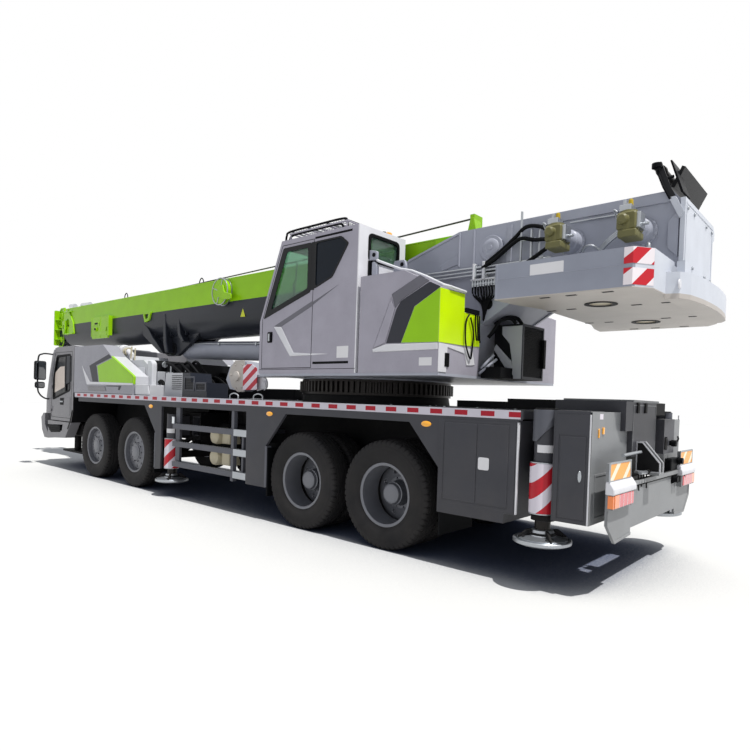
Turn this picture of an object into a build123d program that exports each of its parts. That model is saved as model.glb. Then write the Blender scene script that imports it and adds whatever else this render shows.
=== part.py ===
from build123d import *

import math
import os

# Mobile crane on a four-axle truck carrier, in millimetres.
# +X is forward, +Y is left and +Z is up, with the ground at Z = 0.
# Sizes along X are given from the rearmost axle. Each part is written about the middle of the
# crane's length, so CENTRE_X is taken off every X at the end.

# Overall
HALF_WIDTH = 1400
SKIN = 40
FIT = 0.3
RUN = 6
TAIL_X = -2920
HEAD_X = 12100
CENTRE_X = (TAIL_X + HEAD_X) / 2

# Wheels and axles
TYRE_R = 613
TYRE_W = 315
RIM_R = 330
RIM_WALL = 16
TWIN_PITCH = 352
TYRE_FACE_Y = 1385
STEER_AXLE_X = (7300, 5750)
DRIVE_AXLE_X = (1370, 0)
KINGPIN_Y = 945
KINGPIN_R = 26
HUB_R = 120
DRUM_R = 205
SPINDLE_R = 46

# Frame and deck
FRAME_Z0 = 950
FRAME_Z1 = 1450
RAIL_Y0 = 430
RAIL_Y1 = 520
DECK_Z0 = 1530
DECK_Z = 1610
DECK_X0 = -1640
DECK_X1 = 8200
EDGE_Z0 = 1515
SKIRT_Z0 = 1445
TONGUE_X = 9650

# Places where other equipment is pinned
TOW_PIN_X = -2530
TOW_PIN_Z = 1115
TOW_PIN_R = 25
TOW_LUG_Y = (260, 340)
TOW_LUG_T = 25
JIB_PIN_X = 8950
JIB_PIN_Z = 3000
JIB_PIN_R = 25
JIB_LUG_Y = 440
JIB_LUG_T = 40

# Engine
ENGINE_X0 = 6150
ENGINE_X1 = 7850
ENGINE_Z0 = 1130
ENGINE_Z1 = 2120

# Slewing
SLEW_X = 1340
RING_R = 1090
RING_BORE_R = 900
RING_Z0 = 1720
RING_Z1 = 1920
TOOTH_COUNT = 90
TOOTH_DEPTH = 34

# Outriggers: post places on the left and the step back to the right-hand beam
BEAM_W = 240
BEAM_H = 320
BEAM_WALL = 20
BEAM_STEP = 290
BEAM_TRAVEL = 2050
POST_R = 100
LEG_R = 72
FLOAT_R = 290
JACK_TRAVEL = 550
POST_Y = HALF_WIDTH - 115
REAR_POST_X = -1840
FRONT_POST_X = 4600
REAR_BEAM_Z = 1200
FRONT_BEAM_Z = 1140
REAR_FLOAT_Z = 380
FRONT_FLOAT_Z = 200
REAR_POST_TOP = 1630
FRONT_POST_TOP = 1330

# Carrier cab
CAB_REAR_X = 8360
CAB_HALF = 1370
CAB_WALL = 45
CAB_FLOOR_Z = 1010
CAB_ROOF_Z = 2570
DOOR_FRONT_X = 9470
HINGE_X = DOOR_FRONT_X + RUN / 2
HINGE_Y = CAB_HALF + 16
HINGE_Z = (1250, 1750)
DOOR_SWING = 70

# Superstructure
BASE_Z = 1940
BASE_T = 30
BASE_TOP = BASE_Z + BASE_T
PLATE_Y = 520
PLATE_T = 40
FOOT_PIN_X = -770
FOOT_PIN_Z = 3410
FOOT_PIN_R = 70
LIFT_PIN_R = 55
LIFT_FOOT_X = 1950
LIFT_FOOT_Z = 2370
LIFT_EYE_X = 6450
LIFT_EYE_Z = 2535
OPCAB_Y0 = 545
OPCAB_REAR_X = 466
OPCAB_FRONT_X = 2250
OPCAB_TOP_X = 1840
OPCAB_Z0 = BASE_TOP
OPCAB_Z1 = 3690
OPCAB_SILL_Z = 2670
OPCAB_WALL = 40
HOOK_ARM_X = 2840

# Counterweight
CW_Z0 = 2655
CW_Z1 = 2950
CW_SIDE_Z1 = 2990
CW_SIDE_Y = HALF_WIDTH - 22
CW_BAND_Z0 = 2620
CW_BAND_Z1 = 2850
BACK_TOP_Z = 3585

# Winch drums, just clear of the counterweight
DRUM_X = (-1690, -2370)
DRUM_FLANGE_R = 325
DRUM_ROPE_R = 260
DRUM_Z = CW_SIDE_Z1 + DRUM_FLANGE_R + 15

# Boom: half width and top of each section, each one inside the one before
BOOM_ARC_Z = 3110
BOOM_HALF = (400, 365, 330, 295, 260)
BOOM_TOP = (3680, 3645, 3610, 3575, 3540)
BOOM_TAIL_X = (-450, -300, -150, 0, 150)
BOOM_COLLAR_X = tuple(HEAD_X - 850 + 130 * i for i in range(5))
BOOM_WALL = 20
COLLAR_T = 110
BOOM_TRAVEL = 8700
LIFT_BARREL_R = 170
LIFT_ROD_R = 110


def place(point):
    return Vector(*point)


def outline(points):
    """A flat face through the points, in order."""
    return Face(Wire.make_polygon([place(p) for p in points], close=True))


def side_plate(points, y0, y1):
    """A plate with an outline of (x, z) points, from y0 to y1."""
    face = outline([(x, y0, z) for x, z in points])
    return Solid.extrude(face, Vector(0, y1 - y0, 0))


def end_plate(points, x0, x1):
    """A plate with an outline of (y, z) points, from x0 to x1."""
    face = outline([(x0, y, z) for y, z in points])
    return Solid.extrude(face, Vector(x1 - x0, 0, 0))


def floor_plate(points, z0, z1):
    """A plate with an outline of (x, y) points, from z0 to z1."""
    face = outline([(x, y, z0) for x, y in points])
    return Solid.extrude(face, Vector(0, 0, z1 - z0))


def block(x0, x1, y0, y1, z0, z1):
    """A box between two corners, given low and high along each axis."""
    return Solid.make_box(x1 - x0, y1 - y0, z1 - z0, Plane(origin=(x0, y0, z0)))


def bar(start, end, radius):
    """A round bar from one point to the other."""
    a, b = place(start), place(end)
    return Solid.make_cylinder(radius, (b - a).length, Plane(origin=a, z_dir=b - a))


def ring_of(profile, centre, axis="Y"):
    """A turned piece: (offset, radius) points along an axis through the centre."""
    cx, cy, cz = centre
    if axis == "Y":
        face = outline([(cx, cy + s, cz + r) for s, r in profile])
        return Solid.revolve(face, 360, Axis((cx, cy, cz), (0, 1, 0)))
    if axis == "X":
        face = outline([(cx + s, cy, cz + r) for s, r in profile])
        return Solid.revolve(face, 360, Axis((cx, cy, cz), (1, 0, 0)))
    face = outline([(cx + r, cy, cz + s) for s, r in profile])
    return Solid.revolve(face, 360, Axis((cx, cy, cz), (0, 0, 1)))


def other_side(shape):
    """The same piece on the other side of the crane."""
    return shape.mirror(Plane.XZ)


def fused(pieces):
    whole = pieces[0]
    for piece in pieces[1:]:
        whole = whole + piece
    return whole


def cut(shape, tools):
    for tool in tools:
        shape = shape - tool
    return shape


def both(shape):
    """A piece and its mirror image on the other side."""
    return [shape, other_side(shape)]


nodes = {}


def keep(name, pieces):
    """Gives a node its solids."""
    if not isinstance(pieces, list):
        pieces = [pieces]
    solids = []
    for piece in pieces:
        solids.extend(piece.solids())
    nodes[name] = solids


# Wheels
TYRE_PROFILE = [
    # offset from the tyre's middle, radius
    (-0.40 * TYRE_W, RIM_R + FIT),
    (-0.50 * TYRE_W, 0.78 * TYRE_R),
    (-0.43 * TYRE_W, 0.975 * TYRE_R),
    (-0.30 * TYRE_W, TYRE_R),
    (0.30 * TYRE_W, TYRE_R),
    (0.43 * TYRE_W, 0.975 * TYRE_R),
    (0.50 * TYRE_W, 0.78 * TYRE_R),
    (0.40 * TYRE_W, RIM_R + FIT),
]


def rim_profile(disc, cap):
    """A rim with its disc and hub, as one turned outline of (offset, radius) points.

    disc is where the disc stands and cap where the hub ends, both from the tyre's middle.
    """
    edge = 0.42 * TYRE_W
    inner = RIM_R - RIM_WALL
    return [
        (-edge, RIM_R + 24),
        (-0.40 * TYRE_W, RIM_R + 24),
        (-0.40 * TYRE_W, RIM_R),
        (0.40 * TYRE_W, RIM_R),
        (0.40 * TYRE_W, RIM_R + 24),
        (edge, RIM_R + 24),
        (edge, inner),
        (disc + 14, inner - 12),
        (disc + 14, HUB_R + 20),
        (cap - 25, HUB_R),
        (cap, HUB_R - 30),
        (cap, 0),
        (disc - 60, 0),
        (disc - 60, DRUM_R),
        (disc, inner - 12),
        (-edge, inner),
    ]


def inner_rim_profile():
    """The plain ring that carries the inner tyre of a twin wheel."""
    edge = 0.42 * TYRE_W
    inner = RIM_R - RIM_WALL
    return [
        (-edge, RIM_R + 24),
        (-0.40 * TYRE_W, RIM_R + 24),
        (-0.40 * TYRE_W, RIM_R),
        (0.40 * TYRE_W, RIM_R),
        (0.40 * TYRE_W, RIM_R + 24),
        (edge, RIM_R + 24),
        (edge, inner),
        (-edge, inner),
    ]


HAND_HOLES = 8
HAND_HOLE_R = 24
HAND_HOLE_RING = 252
FRONT_DISC = 70
FRONT_CAP = 118
REAR_DISC = -TYRE_W / 2 - 20
REAR_CAP = 30
WHEEL_MID_Y = TYRE_FACE_Y - TYRE_W / 2
TWIN_MID_Y = WHEEL_MID_Y - TWIN_PITCH


def hand_holes(x, y0, y1):
    """The ring of holes through a wheel's disc."""
    holes = []
    for i in range(HAND_HOLES):
        turn = 2 * math.pi * (i + 0.5) / HAND_HOLES
        hx = x + HAND_HOLE_RING * math.cos(turn)
        hz = TYRE_R + HAND_HOLE_RING * math.sin(turn)
        holes.append(bar((hx, y0, hz), (hx, y1, hz), HAND_HOLE_R))
    return holes


def front_wheel(x):
    """A single steered wheel on the left, with the bore for its spindle."""
    centre = (x, WHEEL_MID_Y, TYRE_R)
    tyre = ring_of(TYRE_PROFILE, centre)
    rim = ring_of(rim_profile(FRONT_DISC, FRONT_CAP), centre)
    drum = bar((x, SPINDLE_ROOT_Y + RUN, TYRE_R), (x, WHEEL_MID_Y + FRONT_DISC - 60, TYRE_R), DRUM_R)
    bore = bar((x, SPINDLE_ROOT_Y, TYRE_R), (x, SPINDLE_TIP_Y + RUN, TYRE_R), SPINDLE_R + FIT)
    y_disc = WHEEL_MID_Y + FRONT_DISC
    rim = cut(rim + drum, [bore] + hand_holes(x, y_disc - 30, y_disc + 40))
    return [tyre, rim]


def twin_wheel(x):
    """A pair of driven wheels on one hub, on the left."""
    outer = (x, WHEEL_MID_Y, TYRE_R)
    inner = (x, TWIN_MID_Y, TYRE_R)
    tyres = [ring_of(TYRE_PROFILE, outer), ring_of(TYRE_PROFILE, inner)]
    rim = ring_of(rim_profile(REAR_DISC, REAR_CAP), outer)
    ring = ring_of(inner_rim_profile(), inner)
    y_disc = WHEEL_MID_Y + REAR_DISC
    web_back = TWIN_MID_Y + 0.42 * TYRE_W - 10 - y_disc
    web = ring_of([(0, RIM_R - RIM_WALL + 6), (0, DRUM_R), (web_back, DRUM_R),
                   (web_back, RIM_R - RIM_WALL + 6)], (x, y_disc, TYRE_R))
    drum = bar((x, AXLE_TUBE_Y + RUN, TYRE_R), (x, y_disc, TYRE_R), DRUM_R)
    bore = bar((x, AXLE_TUBE_Y, TYRE_R), (x, AXLE_TIP_Y + RUN, TYRE_R), SPINDLE_R + FIT)
    holes = hand_holes(x, y_disc - 60, y_disc + 40)
    rim = cut(fused([rim, ring, web, drum]), [bore] + holes)
    return tyres + [rim]


# Spindles: where each starts and ends on the left
SPINDLE_ROOT_Y = 1075
SPINDLE_TIP_Y = 1230
AXLE_TUBE_Y = 690
AXLE_TIP_Y = 1000

for index, axle_x in enumerate(STEER_AXLE_X):
    wheel = front_wheel(axle_x)
    keep(f"wheel_{index + 1}_left", wheel)
    keep(f"wheel_{index + 1}_right", [other_side(s) for s in wheel])
for index, axle_x in enumerate(DRIVE_AXLE_X):
    wheel = twin_wheel(axle_x)
    keep(f"wheel_{index + 3}_left", wheel)
    keep(f"wheel_{index + 3}_right", [other_side(s) for s in wheel])

# Steered axles: an I-beam with an eye at each end, and a forked knuckle on a kingpin
EYE_R = 58
EYE_H = 150
LUG_T = 45
SPRING_Y = 475
SPRING_W = 80


def knuckle(x):
    """The steering knuckle on the left, its kingpin through the axle's eye."""
    pin = bar((x, KINGPIN_Y, TYRE_R - EYE_H / 2 - LUG_T - RUN),
              (x, KINGPIN_Y, TYRE_R + EYE_H / 2 + LUG_T + RUN), KINGPIN_R)
    lugs = []
    for low in (TYRE_R - EYE_H / 2 - LUG_T - RUN, TYRE_R + EYE_H / 2 + RUN):
        lugs.append(bar((x, KINGPIN_Y, low), (x, KINGPIN_Y, low + LUG_T), EYE_R))
        lugs.append(block(x - EYE_R, x + EYE_R, KINGPIN_Y, SPINDLE_ROOT_Y - 20, low, low + LUG_T))
    back = block(x - EYE_R, x + EYE_R, KINGPIN_Y + EYE_R + 20, SPINDLE_ROOT_Y,
                 TYRE_R - EYE_H / 2 - LUG_T - RUN, TYRE_R + EYE_H / 2 + LUG_T + RUN)
    flange = bar((x, SPINDLE_ROOT_Y - 22, TYRE_R), (x, SPINDLE_ROOT_Y, TYRE_R), DRUM_R - 25)
    spindle = bar((x, SPINDLE_ROOT_Y - 22, TYRE_R), (x, SPINDLE_TIP_Y, TYRE_R), SPINDLE_R)
    arm_z = TYRE_R - EYE_H / 2 - LUG_T - RUN
    arm = floor_plate([(x - 40, KINGPIN_Y + EYE_R), (x - 230, KINGPIN_Y - 60),
                       (x - 230, KINGPIN_Y), (x - 40, SPINDLE_ROOT_Y - 10)], arm_z, arm_z + 30)
    return fused([pin, back, flange, spindle, arm] + lugs)


def steered_axle(x):
    """A dropped I-beam between the two kingpin eyes."""
    low, high = TYRE_R - EYE_H / 2, TYRE_R + EYE_H / 2
    neck_y = KINGPIN_Y - EYE_R - 2 * RUN
    beam = end_plate([
        # y, z
        (-KINGPIN_Y, low), (-neck_y, low), (-KINGPIN_Y + 230, 470), (KINGPIN_Y - 230, 470),
        (neck_y, low), (KINGPIN_Y, low),
        (KINGPIN_Y, high - 20), (KINGPIN_Y - 230, 590), (-KINGPIN_Y + 230, 590),
        (-KINGPIN_Y, high - 20)], x - 55, x + 55)
    eyes, bores = [], []
    for side in (1, -1):
        eyes.append(bar((x, side * KINGPIN_Y, low), (x, side * KINGPIN_Y, high), EYE_R))
        bores.append(bar((x, side * KINGPIN_Y, low - 10), (x, side * KINGPIN_Y, high + 10),
                         KINGPIN_R + FIT))
    return cut(fused([beam] + eyes), bores)


def spring_pack(x, seat_z):
    """Leaf spring on the left: a flat pack on the axle and its two hangers under the rail."""
    y0, y1 = SPRING_Y - SPRING_W / 2, SPRING_Y + SPRING_W / 2
    pack = side_plate([
        (x - 620, 800), (x - 160, seat_z), (x + 160, seat_z), (x + 620, 800),
        (x + 620, 845), (x + 160, seat_z + 90), (x - 160, seat_z + 90), (x - 620, 845)], y0, y1)
    hangers = [block(x + end - 35, x + end + 35, y0, y1, 800, FRAME_Z0) for end in (-600, 600)]
    return fused([pack] + hangers)


for index, axle_x in enumerate(STEER_AXLE_X):
    left = knuckle(axle_x)
    keep(f"knuckle_{index + 1}_left", left)
    keep(f"knuckle_{index + 1}_right", other_side(left))

axle_pieces = []
for axle_x in STEER_AXLE_X:
    springs = both(spring_pack(axle_x, 588))
    axle_pieces.append(fused([steered_axle(axle_x)] + springs))

# Driven axles: a round housing with its gear case, and the shafts that drive them
CASE_R = 215
TUBE_R = 95


def driven_axle(x):
    """Axle housing between the twin wheels, with the spindles at its ends."""
    tube = bar((x, -AXLE_TUBE_Y, TYRE_R), (x, AXLE_TUBE_Y, TYRE_R), TUBE_R)
    ends = bar((x, -AXLE_TIP_Y, TYRE_R), (x, AXLE_TIP_Y, TYRE_R), SPINDLE_R)
    case = ring_of([(-230, TUBE_R - 20), (-130, CASE_R), (130, CASE_R), (230, TUBE_R - 20),
                    (230, 0), (-230, 0)], (x, 0, TYRE_R))
    nose = bar((x, 0, TYRE_R + 40), (x + 330, 0, TYRE_R + 40), 90)
    return fused([tube, ends, case, nose])


for axle_x in DRIVE_AXLE_X:
    seat = TYRE_R + TUBE_R - 12
    y0, y1 = SPRING_Y - SPRING_W / 2, SPRING_Y + SPRING_W / 2
    left = fused([side_plate([(axle_x - 560, 830), (axle_x - 130, seat), (axle_x + 130, seat),
                              (axle_x + 560, 830), (axle_x + 560, 870),
                              (axle_x + 130, seat + 90), (axle_x - 130, seat + 90),
                              (axle_x - 560, 870)], y0, y1)]
                 + [block(axle_x + end - 35, axle_x + end + 35, y0, y1, 830, FRAME_Z0)
                    for end in (-540, 540)])
    axle_pieces.append(fused([driven_axle(axle_x)] + both(left)))

SHAFT_R = 62
SHAFT_Z = 653
between = bar((DRIVE_AXLE_X[1] + 330 + FIT, 0, SHAFT_Z), (DRIVE_AXLE_X[0] - CASE_R - 5, 0, SHAFT_Z), SHAFT_R)
long_shaft = bar((DRIVE_AXLE_X[0] + 330 + FIT, 0, SHAFT_Z), (5000, 0, 780), SHAFT_R)
gearbox = block(5000 + FIT, 5500, -190, 190, 700, 1120)
keep("axles_and_shafts", axle_pieces + [between, long_shaft, gearbox])

# Frame: two deep rails with cross tubes, dropped under the cab
REAR_BOX_X0 = REAR_POST_X - BEAM_STEP - BEAM_W / 2 - 30
REAR_BOX_X1 = REAR_POST_X + BEAM_W / 2 + 30
FRONT_BOX_X0 = FRONT_POST_X - BEAM_STEP - BEAM_W / 2 - 30
FRONT_BOX_X1 = FRONT_POST_X + BEAM_W / 2 + 30
rail_outline = [
    (REAR_BOX_X1, FRAME_Z0), (7960, FRAME_Z0), (8320, 700), (TONGUE_X, 700), (TONGUE_X, 960),
    (8300, 960), (8150, FRAME_Z1), (REAR_BOX_X1, FRAME_Z1)]
rail = side_plate(rail_outline, RAIL_Y0, RAIL_Y1)
gap = block(FRONT_BOX_X0, FRONT_BOX_X1, 0, HALF_WIDTH, 0, 3000)
rail = rail - gap
CROSS_X = (-1000, 685, 2300, 3500, 5850, 8060, 9400)
crosses = []
for cross_x in CROSS_X:
    cross_z = (FRAME_Z0 + FRAME_Z1) / 2 if cross_x < 8100 else 830
    crosses.append(bar((cross_x, -RAIL_Y0 - 20, cross_z), (cross_x, RAIL_Y0 + 20, cross_z), 110))
pedestal = ring_of([(0, RING_R - 10), (RING_Z0 - DECK_Z0 + 80, RING_R - 60),
                    (RING_Z0 - DECK_Z0 + 80, RING_BORE_R), (0, RING_BORE_R)],
                   (SLEW_X, 0, DECK_Z0 - 80), "Z")
frame_pieces = fused([rail, other_side(rail)] + crosses + [pedestal])
keep("chassis_frame", frame_pieces)

# Outrigger boxes, through the frame from side to side
BOX_Y = POST_Y - 225


def outrigger_box(x0, x1, post_x, beam_z):
    """The housing of two beams that lie side by side."""
    low, high = beam_z - BEAM_H / 2 - 60, beam_z + BEAM_H / 2 + 60
    body = block(x0, x1, -BOX_Y, BOX_Y, low, min(high, DECK_Z0 - 80))
    half_w, half_h = BEAM_W / 2 + FIT, BEAM_H / 2 + FIT
    tools = []
    for x in (post_x, post_x - BEAM_STEP):
        tools.append(block(x - half_w, x + half_w, -BOX_Y - 10, BOX_Y + 10,
                           beam_z - half_h, beam_z + half_h))
    return cut(body, tools)


rear_box = outrigger_box(REAR_BOX_X0, REAR_BOX_X1, REAR_POST_X, REAR_BEAM_Z)
front_box = outrigger_box(FRONT_BOX_X0, FRONT_BOX_X1, FRONT_POST_X, FRONT_BEAM_Z)
keep("outrigger_boxes", [rear_box, front_box])


def beam(post_x, beam_z, post_top, post_bottom, side):
    """A sliding beam with the jack's post at its end; side is 1 on the left."""
    inner_y = 20 - BOX_Y
    x0, x1 = post_x - BEAM_W / 2, post_x + BEAM_W / 2
    z0, z1 = beam_z - BEAM_H / 2, beam_z + BEAM_H / 2
    tube = block(x0, x1, inner_y, POST_Y - POST_R + 30, z0, z1)
    hollow = block(x0 + BEAM_WALL, x1 - BEAM_WALL, inner_y - 10, POST_Y - POST_R - 40,
                   z0 + BEAM_WALL, z1 - BEAM_WALL)
    post = bar((post_x, POST_Y, post_bottom), (post_x, POST_Y, post_top), POST_R)
    bore = bar((post_x, POST_Y, post_bottom - 10), (post_x, POST_Y, post_top - 60), LEG_R + FIT)
    whole = cut(fused([tube - hollow, post]), [bore])
    return whole if side > 0 else other_side(whole)


def jack(post_x, float_z, post_top, side):
    """The jack's leg and its round float."""
    leg = bar((post_x, POST_Y, float_z + 60), (post_x, POST_Y, post_top - 100), LEG_R)
    dish = ring_of([(0, 0), (0, FLOAT_R - 30), (18, FLOAT_R), (48, FLOAT_R), (60, FLOAT_R - 70),
                    (80, 110), (130, 95), (130, 0)], (post_x, POST_Y, float_z), "Z")
    whole = fused([leg, dish])
    return whole if side > 0 else other_side(whole)


OUTRIGGERS = (
    # name, side, post's place, beam height, post top, post bottom, float height
    ("front_left", 1, FRONT_POST_X, FRONT_BEAM_Z, FRONT_POST_TOP, 440, FRONT_FLOAT_Z),
    ("front_right", -1, FRONT_POST_X - BEAM_STEP, FRONT_BEAM_Z, FRONT_POST_TOP, 440, FRONT_FLOAT_Z),
    ("rear_left", 1, REAR_POST_X, REAR_BEAM_Z, REAR_POST_TOP, 620, REAR_FLOAT_Z),
    ("rear_right", -1, REAR_POST_X - BEAM_STEP, REAR_BEAM_Z, REAR_POST_TOP, 620, REAR_FLOAT_Z),
)
for name, side, post_x, beam_z, top, bottom, float_z in OUTRIGGERS:
    keep(f"outrigger_beam_{name}", beam(post_x, beam_z, top, bottom, side))
    keep(f"outrigger_jack_{name}", jack(post_x, float_z, top, side))

# Deck with its pale edge, bearers and skirts
deck = block(DECK_X0, DECK_X1, -HALF_WIDTH + SKIN, HALF_WIDTH - SKIN, DECK_Z0, DECK_Z)
opening = bar((SLEW_X, 0, DECK_Z0 - 10), (SLEW_X, 0, DECK_Z + 10), RING_R - 8)
deck = deck - opening
edges = both(block(DECK_X0, DECK_X1, HALF_WIDTH - SKIN, HALF_WIDTH, EDGE_Z0, DECK_Z))
BEARERS = (
    # x, half length
    (-1500, 620), (-690, HALF_WIDTH - SKIN), (2700, HALF_WIDTH - SKIN), (3800, HALF_WIDTH - SKIN),
    (5400, HALF_WIDTH - SKIN), (6500, HALF_WIDTH - SKIN), (7500, HALF_WIDTH - SKIN),
)
bearers = []
for bearer_x, half in BEARERS:
    bearers.append(block(bearer_x - 40, bearer_x + 40, -half, half, FRAME_Z1, DECK_Z0))
y0, y1 = HALF_WIDTH - SKIN, HALF_WIDTH
skirts = [
    side_plate([(-740, SKIRT_Z0), (8020, SKIRT_Z0), (8020, EDGE_Z0), (-740, EDGE_Z0)], y0, y1),
    side_plate([(-740, 1000), (-340, SKIRT_Z0 + 10), (-740, SKIRT_Z0 + 10)], y0, y1),
    side_plate([(2040, 445), (2475, 445), (2500, SKIRT_Z0 + 10), (1660, SKIRT_Z0 + 10),
                (2060, 1000)], y0, y1),
    side_plate([(4780, 420), (4970, 400), (4970, 1010), (5350, SKIRT_Z0 + 10),
                (4780, SKIRT_Z0 + 10)], y0, y1),
]
skirt = fused(skirts)
engine_well = block(ENGINE_X0 - 10, ENGINE_X1 + 10, -RAIL_Y0, RAIL_Y0, FRAME_Z1 - 10, DECK_Z + 10)
deck_whole = fused([deck] + edges + bearers + [skirt, other_side(skirt)])
keep("carrier_deck", deck_whole - engine_well)

# Slew ring with its teeth
ring = ring_of([(0, RING_R - TOOTH_DEPTH), (RING_Z1 - RING_Z0, RING_R - TOOTH_DEPTH),
                (RING_Z1 - RING_Z0, RING_BORE_R), (0, RING_BORE_R)], (SLEW_X, 0, RING_Z0), "Z")
tooth_points = []
for i in range(TOOTH_COUNT):
    for part, radius in ((0.0, RING_R - TOOTH_DEPTH), (0.34, RING_R - TOOTH_DEPTH),
                         (0.50, RING_R), (0.84, RING_R)):
        turn = 2 * math.pi * (i + part) / TOOTH_COUNT
        tooth_points.append((SLEW_X + radius * math.cos(turn), radius * math.sin(turn)))
crown = floor_plate(tooth_points, RING_Z0 + 30, RING_Z1 - 30)
crown = crown - bar((SLEW_X, 0, RING_Z0), (SLEW_X, 0, RING_Z1), RING_BORE_R + 60)
keep("slew_ring", ring + crown)

# Tool boxes, rear locker, centre box and rear walls
REAR_WALL_X = -2285
WALL_BACK_X = REAR_WALL_X - 15
BOX_BACK_X = REAR_WALL_X - 65
BOX_DEPTH_Y = 640
left_box = side_plate([(-740, 545), (-1500, 545), (-1500, 640), (-1620, 640), (-1620, EDGE_Z0 - FIT),
                       (-740, EDGE_Z0 - FIT)], BOX_DEPTH_Y, HALF_WIDTH)
right_box = side_plate([(-740, 545), (-1800, 545), (-1800, 640), (-1930, 640), (-1930, 1440),
                        (DECK_X0 - 5, 1440), (DECK_X0 - 5, EDGE_Z0 - FIT),
                        (-740, EDGE_Z0 - FIT)],
                       -HALF_WIDTH, -BOX_DEPTH_Y)
right_box = right_box - block(REAR_BOX_X0 - 5, REAR_BOX_X1 + 5, -BOX_Y - 5, 0, 900, 1600)
locker = block(REAR_WALL_X, REAR_WALL_X + 320, BOX_Y + 20, HALF_WIDTH, 650, REAR_POST_TOP)
left_wall = end_plate([(500, 650), (HALF_WIDTH, 650), (HALF_WIDTH, 1620), (500, 1620)],
                      WALL_BACK_X, REAR_WALL_X)
wall_pocket = block(REAR_WALL_X - 20, REAR_WALL_X + 120, HALF_WIDTH - 420, HALF_WIDTH - 90, 690, 1085)
wall_slot = block(REAR_WALL_X - 20, REAR_WALL_X + 10, 700, 1000, 1240, 1370)
right_wall = end_plate([(-HALF_WIDTH, 650), (-440, 650), (-440, 1550), (-HALF_WIDTH, 1550)],
                       WALL_BACK_X, REAR_WALL_X)
centre_box = block(BOX_BACK_X, DECK_X0 - 20, -300, 700, DECK_Z0 - 80, 1730)
centre_box = centre_box + block(BOX_BACK_X, WALL_BACK_X, -300, 500, 1200, 1730)
ROUND = 60
corner_x, corner_y = BOX_BACK_X + ROUND, -300 + ROUND
corner = block(BOX_BACK_X - 10, corner_x, -310, corner_y, 1190, 1740)
corner = corner - bar((corner_x, corner_y, 1190), (corner_x, corner_y, 1740), ROUND)
centre_box = centre_box - corner
CASE_X = REAR_WALL_X - 115
right_case = block(CASE_X, WALL_BACK_X, -780, -390, 1190, 1560)
right_case = right_case - block(CASE_X - 10, CASE_X + 70, -520, -410, 1230, 1370)
left_end = cut(fused([locker, left_wall]), [wall_pocket, wall_slot])
keep("rear_lockers", [left_box, right_box, left_end, fused([right_wall, right_case]), centre_box])

# Rear bumper with lamp carriers and the tow coupling
BUMPER_X = -2440
BUMPER_Y = HALF_WIDTH - 40
bumper = end_plate([(BUMPER_Y, 1000), (BUMPER_Y, 670), (BUMPER_Y - 200, 490), (BUMPER_Y - 620, 510),
                    (BUMPER_Y - 620, 570), (620 - BUMPER_Y, 570), (620 - BUMPER_Y, 510), (200 - BUMPER_Y, 490),
                    (-BUMPER_Y, 670), (-BUMPER_Y, 1000)], BUMPER_X, BUMPER_X + 20)
stays = both(block(BUMPER_X + 20, WALL_BACK_X, 900, 960, 700, 990))
top_rail = block(BUMPER_X - 20, BUMPER_X, 560 - BUMPER_Y, BUMPER_Y - 560, 960, 1000)
lamp = side_plate([(BUMPER_X - 50, 810), (BUMPER_X - 50, 990), (BUMPER_X - 15, 1040), (BUMPER_X + 10, 1040),
                   (BUMPER_X + 10, 810)], BUMPER_Y - 550, BUMPER_Y + 10)
board = block(BUMPER_X - 15, BUMPER_X + 15, BUMPER_Y - 510, BUMPER_Y + 20, 1030, 1200)
lamps = both(fused([lamp, board]))
lugs = []
for lug_y in TOW_LUG_Y:
    lugs.append(side_plate([(BOX_BACK_X, 1060), (BOX_BACK_X, 1340), (BOX_BACK_X - 60, 1340),
                            (TOW_PIN_X - 45, 1150), (TOW_PIN_X - 45, 1060)], lug_y, lug_y + TOW_LUG_T))
foot = block(TOW_PIN_X - 45, BOX_BACK_X, 230, 400, 1035, 1060)
tow = cut(fused(lugs + [foot]),
          [bar((TOW_PIN_X, 200, TOW_PIN_Z), (TOW_PIN_X, 420, TOW_PIN_Z), TOW_PIN_R)])
keep("rear_bumper", fused([bumper, top_rail] + stays + lamps + [tow]))

# Step rails on the left, their posts, and tanks behind them
RAIL_Z = (1140, 860, 540)
rails = []
for rail_z in RAIL_Z:
    rails.append(block(2500, 4420, HALF_WIDTH - 60, HALF_WIDTH, rail_z - 40, rail_z + 40))
post = block(2790, 2850, HALF_WIDTH - 70, HALF_WIDTH - 10, 440, SKIRT_Z0)
tie = block(2700, 2760, RAIL_Y1, HALF_WIDTH - 50, RAIL_Z[0] - 25, RAIL_Z[0] + 25)
keep("side_rails", fused(rails + [post, tie]))

TANK_R = 150
tanks = []
for tank_z in (1080, 760):
    tank = ring_of([(-420, 0), (-420, 90), (-380, TANK_R), (380, TANK_R), (420, 90), (420, 0)],
                   (3300, 900, tank_z), "X")
    tanks.append(tank)
bracket = block(3180, 3420, RAIL_Y1, 760, 700, 1400)
tanks = [fused(tanks + [bracket])]
fuel = block(2600, 3900, -1340, -700, 560, 1200)
fuel_arm = block(3200, 3300, -700, -RAIL_Y1, 1000, 1180)
keep("side_tanks", tanks + [fuel + fuel_arm])

# Carrier cab: a hollow shell, cut for doors and windows
CAB_SIDE = [
    # x, z of the cab's outline from the side
    (CAB_REAR_X, 1230), (8440, CAB_FLOOR_Z), (9850, CAB_FLOOR_Z), (9830, 1500), (9750, 1650),
    (9330, CAB_ROOF_Z - 20), (9200, CAB_ROOF_Z), (CAB_REAR_X, CAB_ROOF_Z)]
CAB_PLAN = [
    (CAB_REAR_X - 50, -CAB_HALF), (9500, -CAB_HALF), (9900, -CAB_HALF + 260),
    (9900, CAB_HALF - 260), (9500, CAB_HALF), (CAB_REAR_X - 50, CAB_HALF)]


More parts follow.
